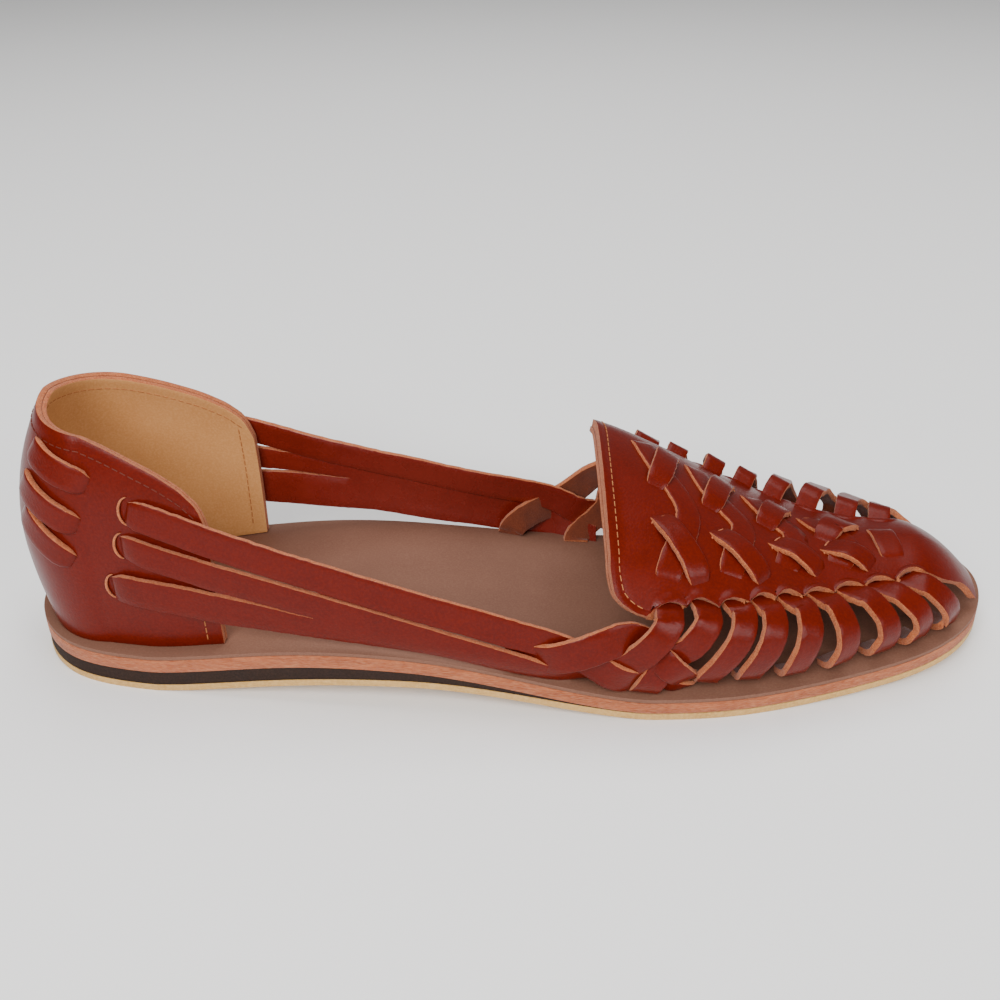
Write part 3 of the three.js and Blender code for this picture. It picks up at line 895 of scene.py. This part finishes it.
def wall_rows(rows: Iterable[Row]) -> list[Row]:
    """Turns rows whose second column is a height on the side wall to rows with an angle there."""
    return [(x, LAST.wall_angle(x, z), *rest) for x, z, *rest in rows]


@dataclass
class SideStraps:
    """Long side straps, braid and thongs of one side."""

    maker: StrapMaker
    side: Side
    thong: float = 6.4
    inner_thong: float = 0.92
    braid: float = 7.2
    twist: float = 9.0
    hold: int = 7
    inner_bulge: Row = (1.0, 1.2, 1.6, 2.1, 2.2, 1.7, 1.7)
    inner_shift: Row = (0.0, 0.0, 0.5, 2.0, 2.0, 0.5, 0.0)
    fork: float = 82.6
    lanes: int = 3
    columns: int = 150
    # Each thong: stations and angles of its top, of three places down the wall and of its foot.
    thongs: tuple[tuple[Row, ...], ...] = (
        ((188.2, 33), (189.5, 25.5), (188.4, 14.5), (184.8, 1), (181.4, -13)),
        ((195.4, 37), (197, 28), (196.8, 17.5), (194.8, 3), (192, -13)),
        ((202.8, 41), (205.6, 32), (206, 20), (205, 4), (203.4, -13)),
        ((210.8, 45.5), (213.8, 34), (215.5, 18), (216, 1), (215.3, -13)),
        ((218.8, 48.5), (223.4, 35.5), (226.5, 18), (227.6, 1), (226.6, -13)),
        ((227, 50), (232, 35), (236, 17), (237.3, 0), (236.5, -13)),
        ((235.4, 51.5), (240.6, 34.5), (245, 13), (246.6, -4), (246.2, -14)),
    )
    slot_off: float = 0.2
    slot_depth: float = 2.4
    slot_rim: float = 0.36
    # Station, height and width of the counter's front slots.
    slots: tuple[Row, ...] = ((37.2, 51.7, 7.4), (34.8, 42.3, 7.2), (30.6, 30.1, 7.2))

    def build(self) -> list[Piece]:
        """Builds every strap of this side.

        Returns:
            The straps.
        """
        pieces = [self._thong(i) for i in range(len(self.thongs))]
        pieces += [self._lay(name, rows) for name, rows in self._braid().items()]
        pieces += [self._lay("upper_strap", self._upper(), Stock.LONG), self._forked()]
        for i, (x, z, width) in enumerate(self.slots):
            spot, ahead = (LAST.strap_place(self.side, at, LAST.wall_angle(at, z), self.slot_off)
                           for at in (x, x + 2))
            pieces.append(self.maker.rim(
                f"{self.side.value}_tail_slot_{i + 1}", spot, ahead[0] - spot[0], width,
                self.slot_depth, self.slot_rim, "counter_leather"))
        return pieces

    def _lay(self, name: str, rows: Sequence[Row], stock: Stock = Stock.SIDE,
             hold: Optional[float] = None) -> Piece:
        """Lays one named strap of this side."""
        return self.maker.lay(f"{self.side.value}_{name}", rows, self.side, stock, hold)

    def _thong(self, i: int) -> Piece:
        """One side thong, from under the panel's edge to the footbed.

        Args:
            i: number of the thong, heel to toe.

        Returns:
            The thong.
        """
        top, high, middle, low, foot = self.thongs[i]
        w, t, out = self.thong, self.twist, 0.2
        if self.side is Side.INNER:
            high, middle = ((top[0] + (spot[0] - top[0]) * slant, spot[1])
                            for spot, slant in ((high, 0.4), (middle, 0.7)))
            w, out = w * self.inner_thong, self.inner_bulge[i]
            top = (top[0] - self.inner_shift[i], top[1])
        hidden = [(top[0] - 1.6, top[1] + 12, -3.2, w, 0), (top[0] - 0.5, top[1] + 4, -2.3, w, t * 0.3)]
        wall = [(*top, -1.3, w, t * 0.6),
                ((top[0] + high[0]) / 2, (top[1] + high[1]) / 2, out, w, t * 0.9),
                (*high, max(1.5, out), w, t), (*middle, 2.4, w, t), (*low, 2.1, w, t)]
        tucked = [(foot[0], foot[1] + rise, off, w, t * turn) for rise, off, turn in (
            (5.0, 1.5, 1), (0.5, 0.6, 0.9), (-3.5, -0.7, 0.8), (-7.0, -2.3, 0.6), (-10.5, -3.8, 0.4))]
        return self._lay(f"thong_{i + 3}", hidden + wall + tucked, hold=self.hold)

    def _braid(self) -> dict[str, list[Row]]:
        """Stations of the braided straps.

        Returns:
            Rows by strap name.
        """
        w = self.braid
        # The cross strap's start hangs inside the arch on the inner side and is tucked in on the outer.
        tail = [(131, -10, -1.7, 7)] if self.side is Side.OUTER else [
            (129.5, -24.5, -1, 6.4), (130, -21, -1.6, 7), (130.8, -16.5, -2.3, 7.4), (133.2, -10, -2.2, 7.6)]
        return {
            "thong_1": [
                (170.2, 37, -3.2, w), (170.8, 30, -2.2, w), (170.9, 25.5, -0.9, w, 6),
                (170.8, 21.5, 1.3, w, 8), (170.2, 17, 2.5, w, 8), (167, 9.8, 2.9, w, 4),
                (161.6, 0.8, 1.4, w), (156.5, -7, -0.9, w), (152.5, -14, -1, w), (150, -21, -1.6, w),
                (149.4, -25, -3, w)],
            "thong_2": [
                (179.2, 40, -3.2, w), (179.8, 34, -2.3, w), (180.2, 29.5, -1.1, w, 8),
                (180.3, 25, 1.2, w, 12), (179.9, 19.5, 2.6, w, 12), (176.8, 10.5, 2.4, w, 6),
                (173, 3, 0.2, w), (169.5, -3.5, 0.7, w), (167, -10, 2.2, w), (165.5, -17, 1.6, w),
                (164.9, -22, -0.8, w), (164.7, -25, -2.8, w)],
            "cross_strap": tail + [
                (137, -5, -0.6, 8), (143, -0.5, 1.7, 8.6), (149.6, 4.4, 2.7, 8.8), (156, 9, 2.1, 8.4),
                (161.2, 11.2, 0.3, 8), (165.4, 8.6, -0.9, 7.6), (168.2, 3.4, -0.1, 7.4),
                (171.4, -1.8, 2.1, 7.2), (174.2, -6.6, 1.8, 7), (176.2, -11.5, 0.2, 6.4),
                (177, -16, -1.8, 6)],
        }

    def _upper(self) -> list[Row]:
        """Stations of the upper side strap, from its slot in the counter to its foot in the braid.

        Returns:
            The rows.
        """
        lift = 0.7 if self.side is Side.INNER else 0.0
        return wall_rows([
            (36.4, 51.9, -1.9, 3), (37.6, 51.6, 0.1, 5.6), (39.6, 51, 1, 7.2), (43.4, 50, 1.3, 7.8),
            (58, 45.0 + lift, 1.3, 8), (72, 41.0 + lift, 1.1, 7.9), (87, 37.2 + lift, 1, 7.8),
            (103, 33.2 + lift, 1, 7.8), (120, 28.9, 0.9, 7.8), (134, 25, 0.7, 7.8), (143, 22, 0, 7.8),
        ]) + [
            (149, -0.5, -0.9, 8.2), (153.4, -4.6, 0.1, 8.8), (157.4, -7.2, 1.7, 9), (161.4, -9.4, 1.7, 8.6),
            (165.6, -11.6, -0.2, 7.4), (169.6, -13.6, -0.6, 5.6), (173.2, -16.6, 0.7, 4.8),
            (176.2, -20.5, -0.2, 4.8), (177.4, -24, -2.6, 4.8)]

    def _forked(self) -> Piece:
        """The wide lower strap, split into two tails that go into the counter's slots.

        Returns:
            The strap.
        """
        # Station and two heights of the lower tail, the same of the upper tail, and the offset.
        rows = (
            (29.6, 28.4, 31.6, 34, 41, 44, -1.9), (30.6, 27.2, 33, 35, 39.8, 45, 0.1),
            (32.6, 26.3, 33.9, 37, 38.8, 45.2, 1), (36.8, 25.5, 33.8, 40.6, 37.2, 44.3, 1.4),
            (48, 23.6, 32.2, 49.4, 34.3, 41.6, 1.3), (58, 22, 30.6, 58, 31.8, 39.3, 1.5),
            (70, 21.3, 28.8, 70, 29.4, 36.6, 1.5), (82.6, 20.6, 26.7, 82.6, 26.8, 33.7, 1.5),
            (100, 19.7, 24.5, 100, 24.6, 29.5, 1.4), (116, 18.2, 21.7, 116, 21.8, 25.3, 1.4),
            (132, 14.6, 17.6, 132, 17.7, 20.9, 1.6), (143, 12, 14.4, 143, 14.5, 17.2, 1.3),
            (150, 10.2, 12.2, 150, 12.3, 14.6, -0.5), (156, 8.8, 10.2, 156, 10.3, 12, -1.6))
        *tails, off = (Curve({i: row[k] for i, row in enumerate(rows)}) for k in range(7))
        count = 2 * self.lanes + 1

        def place(u: float, v: float) -> Vector:
            """Corner of the strap: u along it, v across it from its lower edge."""
            i, lane = (len(rows) - 1) * u, round(v * count)
            high = lane > self.lanes
            share = (lane - self.lanes - 1) / self.lanes if high else lane / self.lanes
            x, a, b = (curve(i) for curve in (tails[3:] if high else tails[:3]))
            z = a + (b - a) * share
            if self.side is Side.INNER:
                sag = math.sin(math.pi * part_way(x, 45, 140))
                z += sag * (0.4 + 4.1 * share if not high else 4.5 - 2.0 * share)
                z -= 2.6 * (1 - v) * ramp(x, 85, 115)
            point = LAST.strap_place(self.side, x, LAST.wall_angle(x, z), off(i))[0]
            return point + Vector((0, 0, 0.15 * wobble(point, 1.5, 5.0) if share in (0.0, 1.0) else 0.0))

        piece = cut_sheet(f"{self.side.value}_lower_strap", self.columns, count, place)
        limit = (self.fork + SHIFT.x) * MM
        make_active(piece)
        bpy.ops.object.mode_set(mode="EDIT")
        bpy.ops.mesh.select_mode(type="FACE")
        bpy.ops.mesh.select_all(action="DESELECT")
        bpy.ops.object.mode_set(mode="OBJECT")
        for number, face in enumerate(piece.data.polygons):
            face.select = number // self.columns == self.lanes and face.center.x < limit
        bpy.ops.object.mode_set(mode="EDIT")
        bpy.ops.mesh.delete(type="FACE")
        if self.side is Side.INNER:
            bpy.ops.mesh.select_all(action="SELECT")
            bpy.ops.mesh.flip_normals()
        bpy.ops.object.mode_set(mode="OBJECT")
        return thicken(piece, Stock.LONG.value, self.maker.rounding, self.maker.finishes.hide(Stock.LONG))


# ---- vamp ----
# Stations of the panel's throat edge by share of the way from its outer to its inner edge.
THROAT = {0: 165, 0.012: 162.6, 0.03: 160, 0.055: 157.8, 0.10: 156.5, 0.18: 156, 0.25: 155.6,
          0.38: 154.9, 0.55: 154.4, 0.9: 155.2, 0.96: 157, 1: 161}
# Stations of the weave on the vamp panel: x, angle round the last and offset from it.
LINKS = {
    "link_1": ((165.2, 97, -1.5), (166.4, 92, 0.7), (168.4, 85.5, 0.9), (171, 79.5, 0.9), (174.3, 73.5, 0.9),
               (176.6, 67, 0.9), (176.5, 61, 0.9), (175, 54, 0.9), (172.9, 47, 0.8), (171.3, 40.5, 0.8),
               (170.7, 36.5, 0.4), (170.3, 32.5, -1.5)),
    "link_2": ((180.4, 103, -1.5), (181.2, 97.5, 0.7), (182.4, 90, 0.9), (184.4, 84, 0.9), (188, 78.5, 0.9),
               (191.2, 73.5, 0.9), (191.7, 68.5, 0.9), (190.6, 63, 0.9), (188.9, 56.5, 0.8), (187.6, 50, 0.8),
               (187, 45.4, 0.4), (186.6, 41, -1.5)),
    "link_3": ((195.8, 103, -1.5), (196.8, 98, 0.7), (198.4, 92.5, 0.9), (200.4, 87.5, 0.9),
               (203.8, 83.5, 0.9), (206.4, 79.5, 0.9), (206.4, 74, 0.9), (205.2, 68, 0.9),
               (203.7, 62.5, 0.8), (202.5, 57.8, 0.4), (202.1, 54, -1.5)),
    "link_4": ((211.4, 104, -1.5), (212.4, 99.5, 0.7), (214.2, 94, 0.9), (216.8, 88.5, 0.9), (219.6, 84, 0.9),
               (220.9, 79, 0.9), (220.3, 73.5, 0.9), (218.8, 68, 0.8), (217.6, 63.8, 0.4), (217, 60, -1.5)),
    "toe_tab": ((231.6, 104, -1.4), (231.9, 98, 0.6), (232.2, 89, 1.1), (232.6, 78, 1.1), (232.8, 69.5, 0.6),
                (233, 65, -1.4)),
}
CROSSES = {
    "inner_cross_1": ((174.2, 98, -1.4), (173.3, 93, 1.5), (172.2, 87.5, 2.6), (170.8, 80.5, 2.7),
                      (169.5, 74.5, 1.9), (168.6, 70, -1.3)),
    "inner_cross_2": ((190.4, 104, -1.4), (189, 98.5, 1.5), (187.3, 91.5, 2.6), (185.5, 84, 2.7),
                      (184.1, 77.5, 1.9), (183.1, 72.5, -1.3)),
    "inner_cross_3": ((206, 105, -1.4), (204.6, 100, 1.5), (202.7, 93.5, 2.6), (200.7, 87, 2.7),
                      (199.3, 81.5, 1.9), (198.3, 77.5, -1.3)),
    "inner_cross_4": ((225.2, 108, -1.4), (223.4, 103, 1.5), (220.8, 96.5, 2.6), (218.1, 89.5, 2.7),
                      (215.9, 83.5, 1.9), (214.4, 79, -1.3)),
    "outer_cross_1": ((168.8, 61, -1.3), (170.2, 57.6, 1.1), (173.2, 51.4, 2.6), (176.5, 44.6, 2.4),
                      (178.1, 39.8, 1.4), (179.2, 35.5, -1.3)),
    "outer_cross_2": ((183.8, 66, -1.3), (185.5, 62.6, 1.1), (189.1, 57.6, 2.6), (192.6, 52, 2.4),
                      (194.8, 48.2, 1.3), (196.4, 45, -1.3)),
    "outer_cross_3": ((199.5, 73.5, -1.3), (201.5, 70, 1.1), (205.2, 66.2, 2.6), (208.6, 61.8, 2.3),
                      (210.6, 58.8, 1.2), (212.3, 56, -1.3)),
    "outer_cross_4": ((213.8, 78.5, -1.3), (216.1, 75, 1.1), (219.8, 71, 2.6), (223.4, 66.5, 2.3),
                      (225.4, 63, 1.2), (227, 60, -1.3)),
}


@dataclass
class VampPanel:
    """The crowned panel over the toes, its lining band and the weave on it."""

    maker: StrapMaker
    thickness: float = 2.0
    rounding: float = 0.45
    ragged_to: float = 243.0
    facing: float = 1.2
    facing_wide: float = 13.0
    facing_under: float = 0.65
    facing_columns: int = 10
    facing_rounding: float = 0.25
    toe: float = 257.0
    columns: int = 200
    rows: int = 64
    arch: float = 3.8
    arch_grow: float = 0.055
    arch_grow_from: float = 190.0
    arch_fade: float = 0.08
    flare: float = 0.6
    flare_fade: float = 0.035
    curl: float = 1.1
    curl_to: float = 0.78
    curl_fade: float = 2.2
    stitch_inset: float = 2.4
    stitch_marks: int = 300
    link_width: float = 6.8
    cross_width: float = 6.6
    slot_sink: float = 0.3
    slot_ease: float = 0.8
    # Slots at a woven strap's start and at a link's end: name, row, row it faces, depth and size of the rim.
    slots: tuple[tuple[str, int, int, float, float], ...] = (
        ("_slot", 1, 2, 1.1, 0.36), ("_end", -2, -3, 0.9, 0.22))
    cusps: Row = (166.8, 175.1, 183.4, 191.4, 198.4, 205.8, 214.4, 223.2, 231.9, 240.6)

    def __post_init__(self) -> None:
        """Prepares the throat's curve and the inner side's cusps."""
        self.throat = Curve(THROAT)
        self.inner_cusps = tuple(c - LAST.inner_back(c) for c in self.cusps)

    @staticmethod
    def _arching(x: float, cusps: Row) -> float:
        """How far a long edge arches up over the nearest thong.

        Args:
            x: station.
            cusps: stations where the edge dips between two thongs.

        Returns:
            0 between two thongs, 1 over the middle of one.
        """
        for start, end in zip(cusps, cusps[1:]):
            if start <= x <= end:
                return math.sin(math.pi * ((x - start) / (end - start)) ** 0.8) ** 0.9
        return 0.0

    def _spot(self, x: float, share: float) -> Spot:
        """Middle of the panel's wall and its outward direction.

        Args:
            x: station.
            share: 0 at the outer edge, 1 at the inner edge.

        Returns:
            The point and a unit vector.
        """
        outer, inner = self._arching(x, self.cusps), self._arching(x, self.inner_cusps)
        low, high = LAST.panel_outer(x), LAST.panel_inner(x)
        reach = self.arch + self.arch_grow * max(0.0, x - self.arch_grow_from)
        angle = low + (high - low) * share
        angle += reach * (outer * bell(share, self.arch_fade) - inner * bell(1 - share, self.arch_fade))
        normal = LAST.normal(x, angle)
        lift = self.curl * clamp01((self.curl_to - share) / 0.35)
        lift *= bell(max(0.0, x - self.throat(share)), self.curl_fade)
        for arching, away in ((outer, share), (inner, 1 - share)):
            lift += arching * self.flare * bell(away, self.flare_fade)
        return LAST.point(x, angle) + normal * lift, normal

    def build(self) -> list[Piece]:
        """Builds the panel, its throat band, stitches and weave.

        Returns:
            The pieces.
        """
        shares = (0.012 + 0.975 * k / (self.stitch_marks - 1) for k in range(self.stitch_marks))
        spots = [self._spot(self.throat(s) + self.stitch_inset, s + 0.012 * (1 - s)) for s in shares]
        thread = self.maker.finishes.thread
        return [self._panel(), self._band(), sew("throat_stitches", spots, self.thickness / 2, thread),
                *self._weave()]

    def _panel(self) -> Piece:
        """The panel itself.

        Returns:
            The object.
        """
        def place(u: float, v: float) -> Vector:
            """Corner of the panel: u from throat to toe, v across."""
            share = (1 - math.cos(math.pi * v)) / 2
            start = self.throat(share)
            x = start + (self.toe - start) * u
            point, normal = self._spot(x, share)
            if (v < 0.001 or v > 0.999 or u < 0.001) and x < self.ragged_to:
                point += normal.cross(Vector((0, 0, 1))) * self.maker.ragged * wobble(point, 1.2)
            return point

        piece = cut_sheet("vamp_panel", self.columns, self.rows, place)
        return thicken(piece, self.thickness, self.rounding, self.maker.finishes.hide(Stock.SIDE))

    def _band(self) -> Piece:
        """The facing that doubles the throat's edge from beneath.

        Returns:
            The object.
        """
        def place(u: float, v: float) -> Vector:
            """Corner of the band: u from the throat's edge inwards, v across."""
            share = 0.02 + 0.96 * (1 - math.cos(math.pi * v)) / 2
            point, normal = self._spot(self.throat(share) - 0.3 + self.facing_wide * u, share)
            return point - normal * (self.thickness / 2 + self.facing_under)

        f = self.maker.finishes
        return thicken(cut_sheet("throat_facing", self.facing_columns, self.rows, place), self.facing,
                       self.facing_rounding, (f.flesh_side, f.flesh_side, f.cut_edge))

    def _weave(self) -> list[Piece]:
        """The crossed straps on the panel and the rims of their slots.

        Returns:
            The straps and rims.
        """
        pieces, maker = [], self.maker
        for group, width in ((LINKS, self.link_width), (CROSSES, self.cross_width)):
            for name, stations in group.items():
                last = len(stations) - 1
                narrow = {0: 0.75, last - 1: 0.92, last: 0.55}
                rows = [(*station, width * narrow.get(i, 1.0)) for i, station in enumerate(stations)]
                pieces.append(maker.lay(name, rows, stock=Stock.WEAVE))
                for part, at, next_row, depth, size in self.slots[:2 if name.startswith("link") else 1]:
                    x, angle, off, wide = rows[at]
                    spot = LAST.strap_place(Side.OUTER, x, angle, off - self.slot_sink)
                    along = LAST.strap_place(Side.OUTER, *rows[next_row][:3])[0] - spot[0]
                    pieces.append(maker.rim(name + part, spot, along, wide + self.slot_ease, depth, size))
        return pieces


def sew(name: str, spots: Sequence[Spot], lift: float, thread: Material, stitch: float = 1.5,
        gap: float = 0.7, size: float = 0.3) -> Piece:
    """Sews a row of short stitches along a line.

    Args:
        name: name of the row.
        spots: points and outward directions along the line.
        lift: distance from those points to the surface.
        thread: the thread's material.
        stitch: length of a stitch.
        gap: space between two stitches.
        size: thickness of the thread.

    Returns:
        The row of stitches.
    """
    lengths = [0.0]
    for (a, _), (b, _) in zip(spots, spots[1:]):
        lengths.append(lengths[-1] + (b - a).length)
    path, ups = ([Curve({length: spot[part][k] for length, spot in zip(lengths, spots)}) for k in range(3)]
                 for part in (0, 1))
    make_active()
    bpy.ops.mesh.primitive_cylinder_add(
        vertices=6, radius=size / 2 * MM, depth=stitch * MM, end_fill_type="TRIFAN")
    model = bpy.context.object
    pieces = []
    at = stitch
    while at < lengths[-1] - stitch:
        middle = Vector([c(at) for c in path])
        up = Vector([c(at) for c in ups]).normalized()
        along = (Vector([c(at + 0.3) for c in path]) - middle).normalized()
        across = up.cross(along).normalized()
        copy = model.copy()
        copy.data = model.data.copy()
        bpy.context.collection.objects.link(copy)
        turn = Matrix((across, up, along)).transposed().to_4x4()
        turn.translation = (middle + up * (lift + size * 0.15) + SHIFT) * MM
        copy.data.transform(turn)
        pieces.append(copy)
        at += stitch + gap
    bpy.data.objects.remove(model)
    row = pieces[0]
    make_active(row)
    for piece in pieces:
        piece.select_set(True)
    bpy.ops.object.join()
    row.name = row.data.name = name
    bpy.ops.object.shade_smooth_by_angle(angle=math.radians(70))
    mount(row, thread)
    return row


# ---- heel counter ----
@dataclass
class HeelCounter:
    """The closed heel: outer leather, lining, stitches and short strap ends."""

    maker: StrapMaker
    leather: float = 1.5
    lining: float = 1.2
    glue: float = 0.05
    clearance: float = 0.1
    columns: int = 120
    rows: int = 30
    rounding: float = 0.15
    stitch_drop: float = 3.6
    rim_marks: int = 300
    # Start and end of the short straps, each as a place round the counter and a height.
    ends: tuple[tuple[Row, Row], ...] = (((0.385, 65.2), (0.258, 57.4)), ((0.402, 56.3), (0.284, 46.6)),
                                         ((0.392, 48.3), (0.300, 36.4)))
    # Their stations: share of the way, offset from the counter and width.
    end_rows: tuple[Row, ...] = ((0.0, -1.6, 2.6), (0.06, 0.0, 5.4), (0.2, 0.8, 6.8), (0.5, 1.1, 7.0),
                                 (0.8, 0.8, 6.8), (0.94, 0.0, 5.4), (1.0, -1.6, 2.6))

    def _skin(self, around: float, share: float, depth: float) -> Vector:
        """Point in the counter's wall.

        Args:
            around: place round the counter.
            share: 0 at the footbed, 1 at the rim.
            depth: millimetres inside the outer face.

        Returns:
            The point.
        """
        turn = abs(around - 0.5) * 2
        low = SOLE.footbed(LAST.front_station(turn) * min(1.0, turn / LAST.straight)) + self.clearance
        point, normal = LAST.counter_spot(around, low + (LAST.counter_rim(around) - low) * share)
        return point - normal * depth

    def build(self) -> list[Piece]:
        """Builds the counter.

        Returns:
            The pieces.
        """
        f, inside = self.maker.finishes, self.leather + self.glue
        pieces = []
        for name, depth, thickness, leathers in (
                ("counter_leather", self.leather / 2, self.leather, f.hide(Stock.SIDE)),
                ("counter_lining", inside + self.lining / 2, self.lining,
                 (f.flesh_side, f.lining, f.cut_edge))):
            piece = cut_sheet(name, self.columns, self.rows, lambda u, v: self._skin(1 - u, v, depth))
            pieces.append(thicken(piece, thickness, self.rounding, leathers))
        # The rows that follow the rim outside and inside, close the lower front corners, and run up the
        # lining's front edge on the inner side.
        last, depth = self.rim_marks - 1, inside + self.lining
        rim = [(a, LAST.counter_rim(a) - self.stitch_drop)
               for a in (0.015 + 0.97 * k / last for k in range(self.rim_marks))]
        pieces += [self._row("rim_stitches", rim, 0.0, f.red_thread),
                   self._row("lining_stitches", rim, depth, f.thread)]
        for side, around in ((Side.OUTER, 0.036), (Side.INNER, 0.964)):
            corner = [(around, 21.5 - 9.5 * k / 30) for k in range(31)]
            pieces.append(self._row(f"{side.value}_front_stitches", corner, 0.0, f.thread))
        front = [(0.966, 16 + (LAST.counter_rim(0.966) - 20) * k / 119) for k in range(120)]
        pieces.append(self._row("lining_front_stitches", front, depth, f.thread))
        return pieces + [self._short_end(side, row) for side in Side for row in range(3)]

    @staticmethod
    def _row(name: str, path: Iterable[Row], depth: float, thread: Material) -> Piece:
        """A row of stitches on one face of the counter.

        Args:
            name: name of the row.
            path: places round the counter and heights along the row.
            depth: millimetres inside the outer face, 0 for a row on that face.
            thread: the thread's finish.

        Returns:
            The row of stitches.
        """
        spots = (LAST.counter_spot(around, z) for around, z in path)
        return sew(name, [(point - normal * depth, -normal if depth else normal) for point, normal in spots],
                   0.0, thread)

    def _short_end(self, side: Side, row: int) -> Piece:
        """A short strap that shows on the counter's back between two slots.

        Args:
            side: side of the foot.
            row: 0 top, 1 middle, 2 bottom.

        Returns:
            The strap.
        """
        start, end = self.ends[row]
        share, off, width = (Curve({i: s[k] for i, s in enumerate(self.end_rows)}) for k in range(3))

        def centre(i: float) -> Spot:
            """Middle of the strap and the wall's direction there."""
            t = share(i)
            around = start[0] + (end[0] - start[0]) * t
            if side is Side.INNER:
                around = 1 - around
            point, normal = LAST.counter_spot(around, start[1] + (end[1] - start[1]) * t)
            return point + normal * off(i), normal

        return self.maker.bend(f"{side.value}_short_strap_{row + 1}", centre, width, len(self.end_rows) - 1)


# ---- stage ----
@dataclass
class Stage:
    """Floor, light and camera; the eye is in shoe millimetres and the angles in radians."""

    eye: Row = (139.39, -270.17, 198.19)
    yaw: float = -0.0405
    pitch: float = 0.5286
    roll: float = -0.0164
    focal: float = 41.877
    sensor: float = 36.0
    # Each light: name, place in metres, size in metres and watts.
    lights: tuple[tuple[str, Row, float, float], ...] = (
        ("top", (0.0, 0.35, 1.3), 1.1, 14.5), ("key", (-0.3, -0.9, 0.8), 0.6, 17.0),
        ("fill", (0.9, -0.8, 0.6), 0.6, 8.0))
    aim: Row = (0.0, 0.0, 0.03)

    def build(self) -> None:
        """Builds the stage."""
        self._floor()
        self._lights()
        self._camera()

    def _floor(self) -> None:
        """A plain pale floor."""
        make_active()
        bpy.ops.mesh.primitive_plane_add(size=8.0)
        floor = bpy.context.object
        floor.name = "floor"
        material = bpy.data.materials.new("pale_floor")
        material.use_nodes = True
        shader = material.node_tree.nodes["Principled BSDF"]
        shader.inputs["Base Color"].default_value = srgb("f4f3f2")
        shader.inputs["Roughness"].default_value = 0.9
        floor.data.materials.append(material)

    def _lights(self) -> None:
        """Soft studio light: a broad top light, a key from the front left and a fill."""
        world = bpy.data.worlds.new("studio")
        world.use_nodes = True
        background = world.node_tree.nodes["Background"].inputs
        background["Color"].default_value = (1.0, 1.0, 1.0, 1.0)
        background["Strength"].default_value = 0.3
        bpy.context.scene.world = world
        for name, spot, size, power in self.lights:
            lamp = bpy.data.lights.new(name, "AREA")
            lamp.size = size
            lamp.energy = power
            holder = bpy.data.objects.new(name, lamp)
            bpy.context.collection.objects.link(holder)
            holder.location = spot
            aim = Vector(self.aim) - Vector(spot)
            holder.rotation_euler = aim.to_track_quat("-Z", "Y").to_euler()

    def _camera(self) -> None:
        """Camera at the given angle to the shoe."""
        camera = bpy.data.cameras.new("view")
        camera.lens = self.focal
        camera.sensor_width = self.sensor
        camera.clip_start = 0.01
        holder = bpy.data.objects.new("view", camera)
        bpy.context.collection.objects.link(holder)
        level, sink = math.cos(self.pitch), math.sin(self.pitch)
        ahead = Vector((math.sin(self.yaw) * level, math.cos(self.yaw) * level, -sink))
        right = Vector((math.cos(self.yaw), -math.sin(self.yaw), 0.0))
        up = right.cross(ahead)
        turn, tip = math.cos(self.roll), math.sin(self.roll)
        across = right * turn + up * tip
        above = up * turn - right * tip
        holder.matrix_world = Matrix((
            (across.x, above.x, -ahead.x, (self.eye[0] + SHIFT.x) * MM),
            (across.y, above.y, -ahead.y, (self.eye[1] + SHIFT.y) * MM),
            (across.z, above.z, -ahead.z, self.eye[2] * MM),
            (0.0, 0.0, 0.0, 1.0),
        ))
        bpy.context.scene.camera = holder


def main() -> None:
    """Builds the shoe and its stage."""
    logging.basicConfig(level=logging.INFO, format="%(name)s: %(message)s")
    finishes = Finishes()
    maker = StrapMaker(finishes)
    Stage().build()
    LOG.info("stage ready")
    SoleStack(finishes).build()
    LOG.info("sole ready")
    counter = HeelCounter(maker).build()
    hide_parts("heel_counter")
    LOG.info("heel counter ready: %d pieces", len(counter))
    panel = VampPanel(maker).build()
    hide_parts("upper")
    LOG.info("vamp ready: %d pieces", len(panel))
    for side in Side:
        straps = SideStraps(maker, side).build()
        LOG.info("%s side ready: %d straps", side.value, len(straps))


if __name__ == "__main__":
    main()
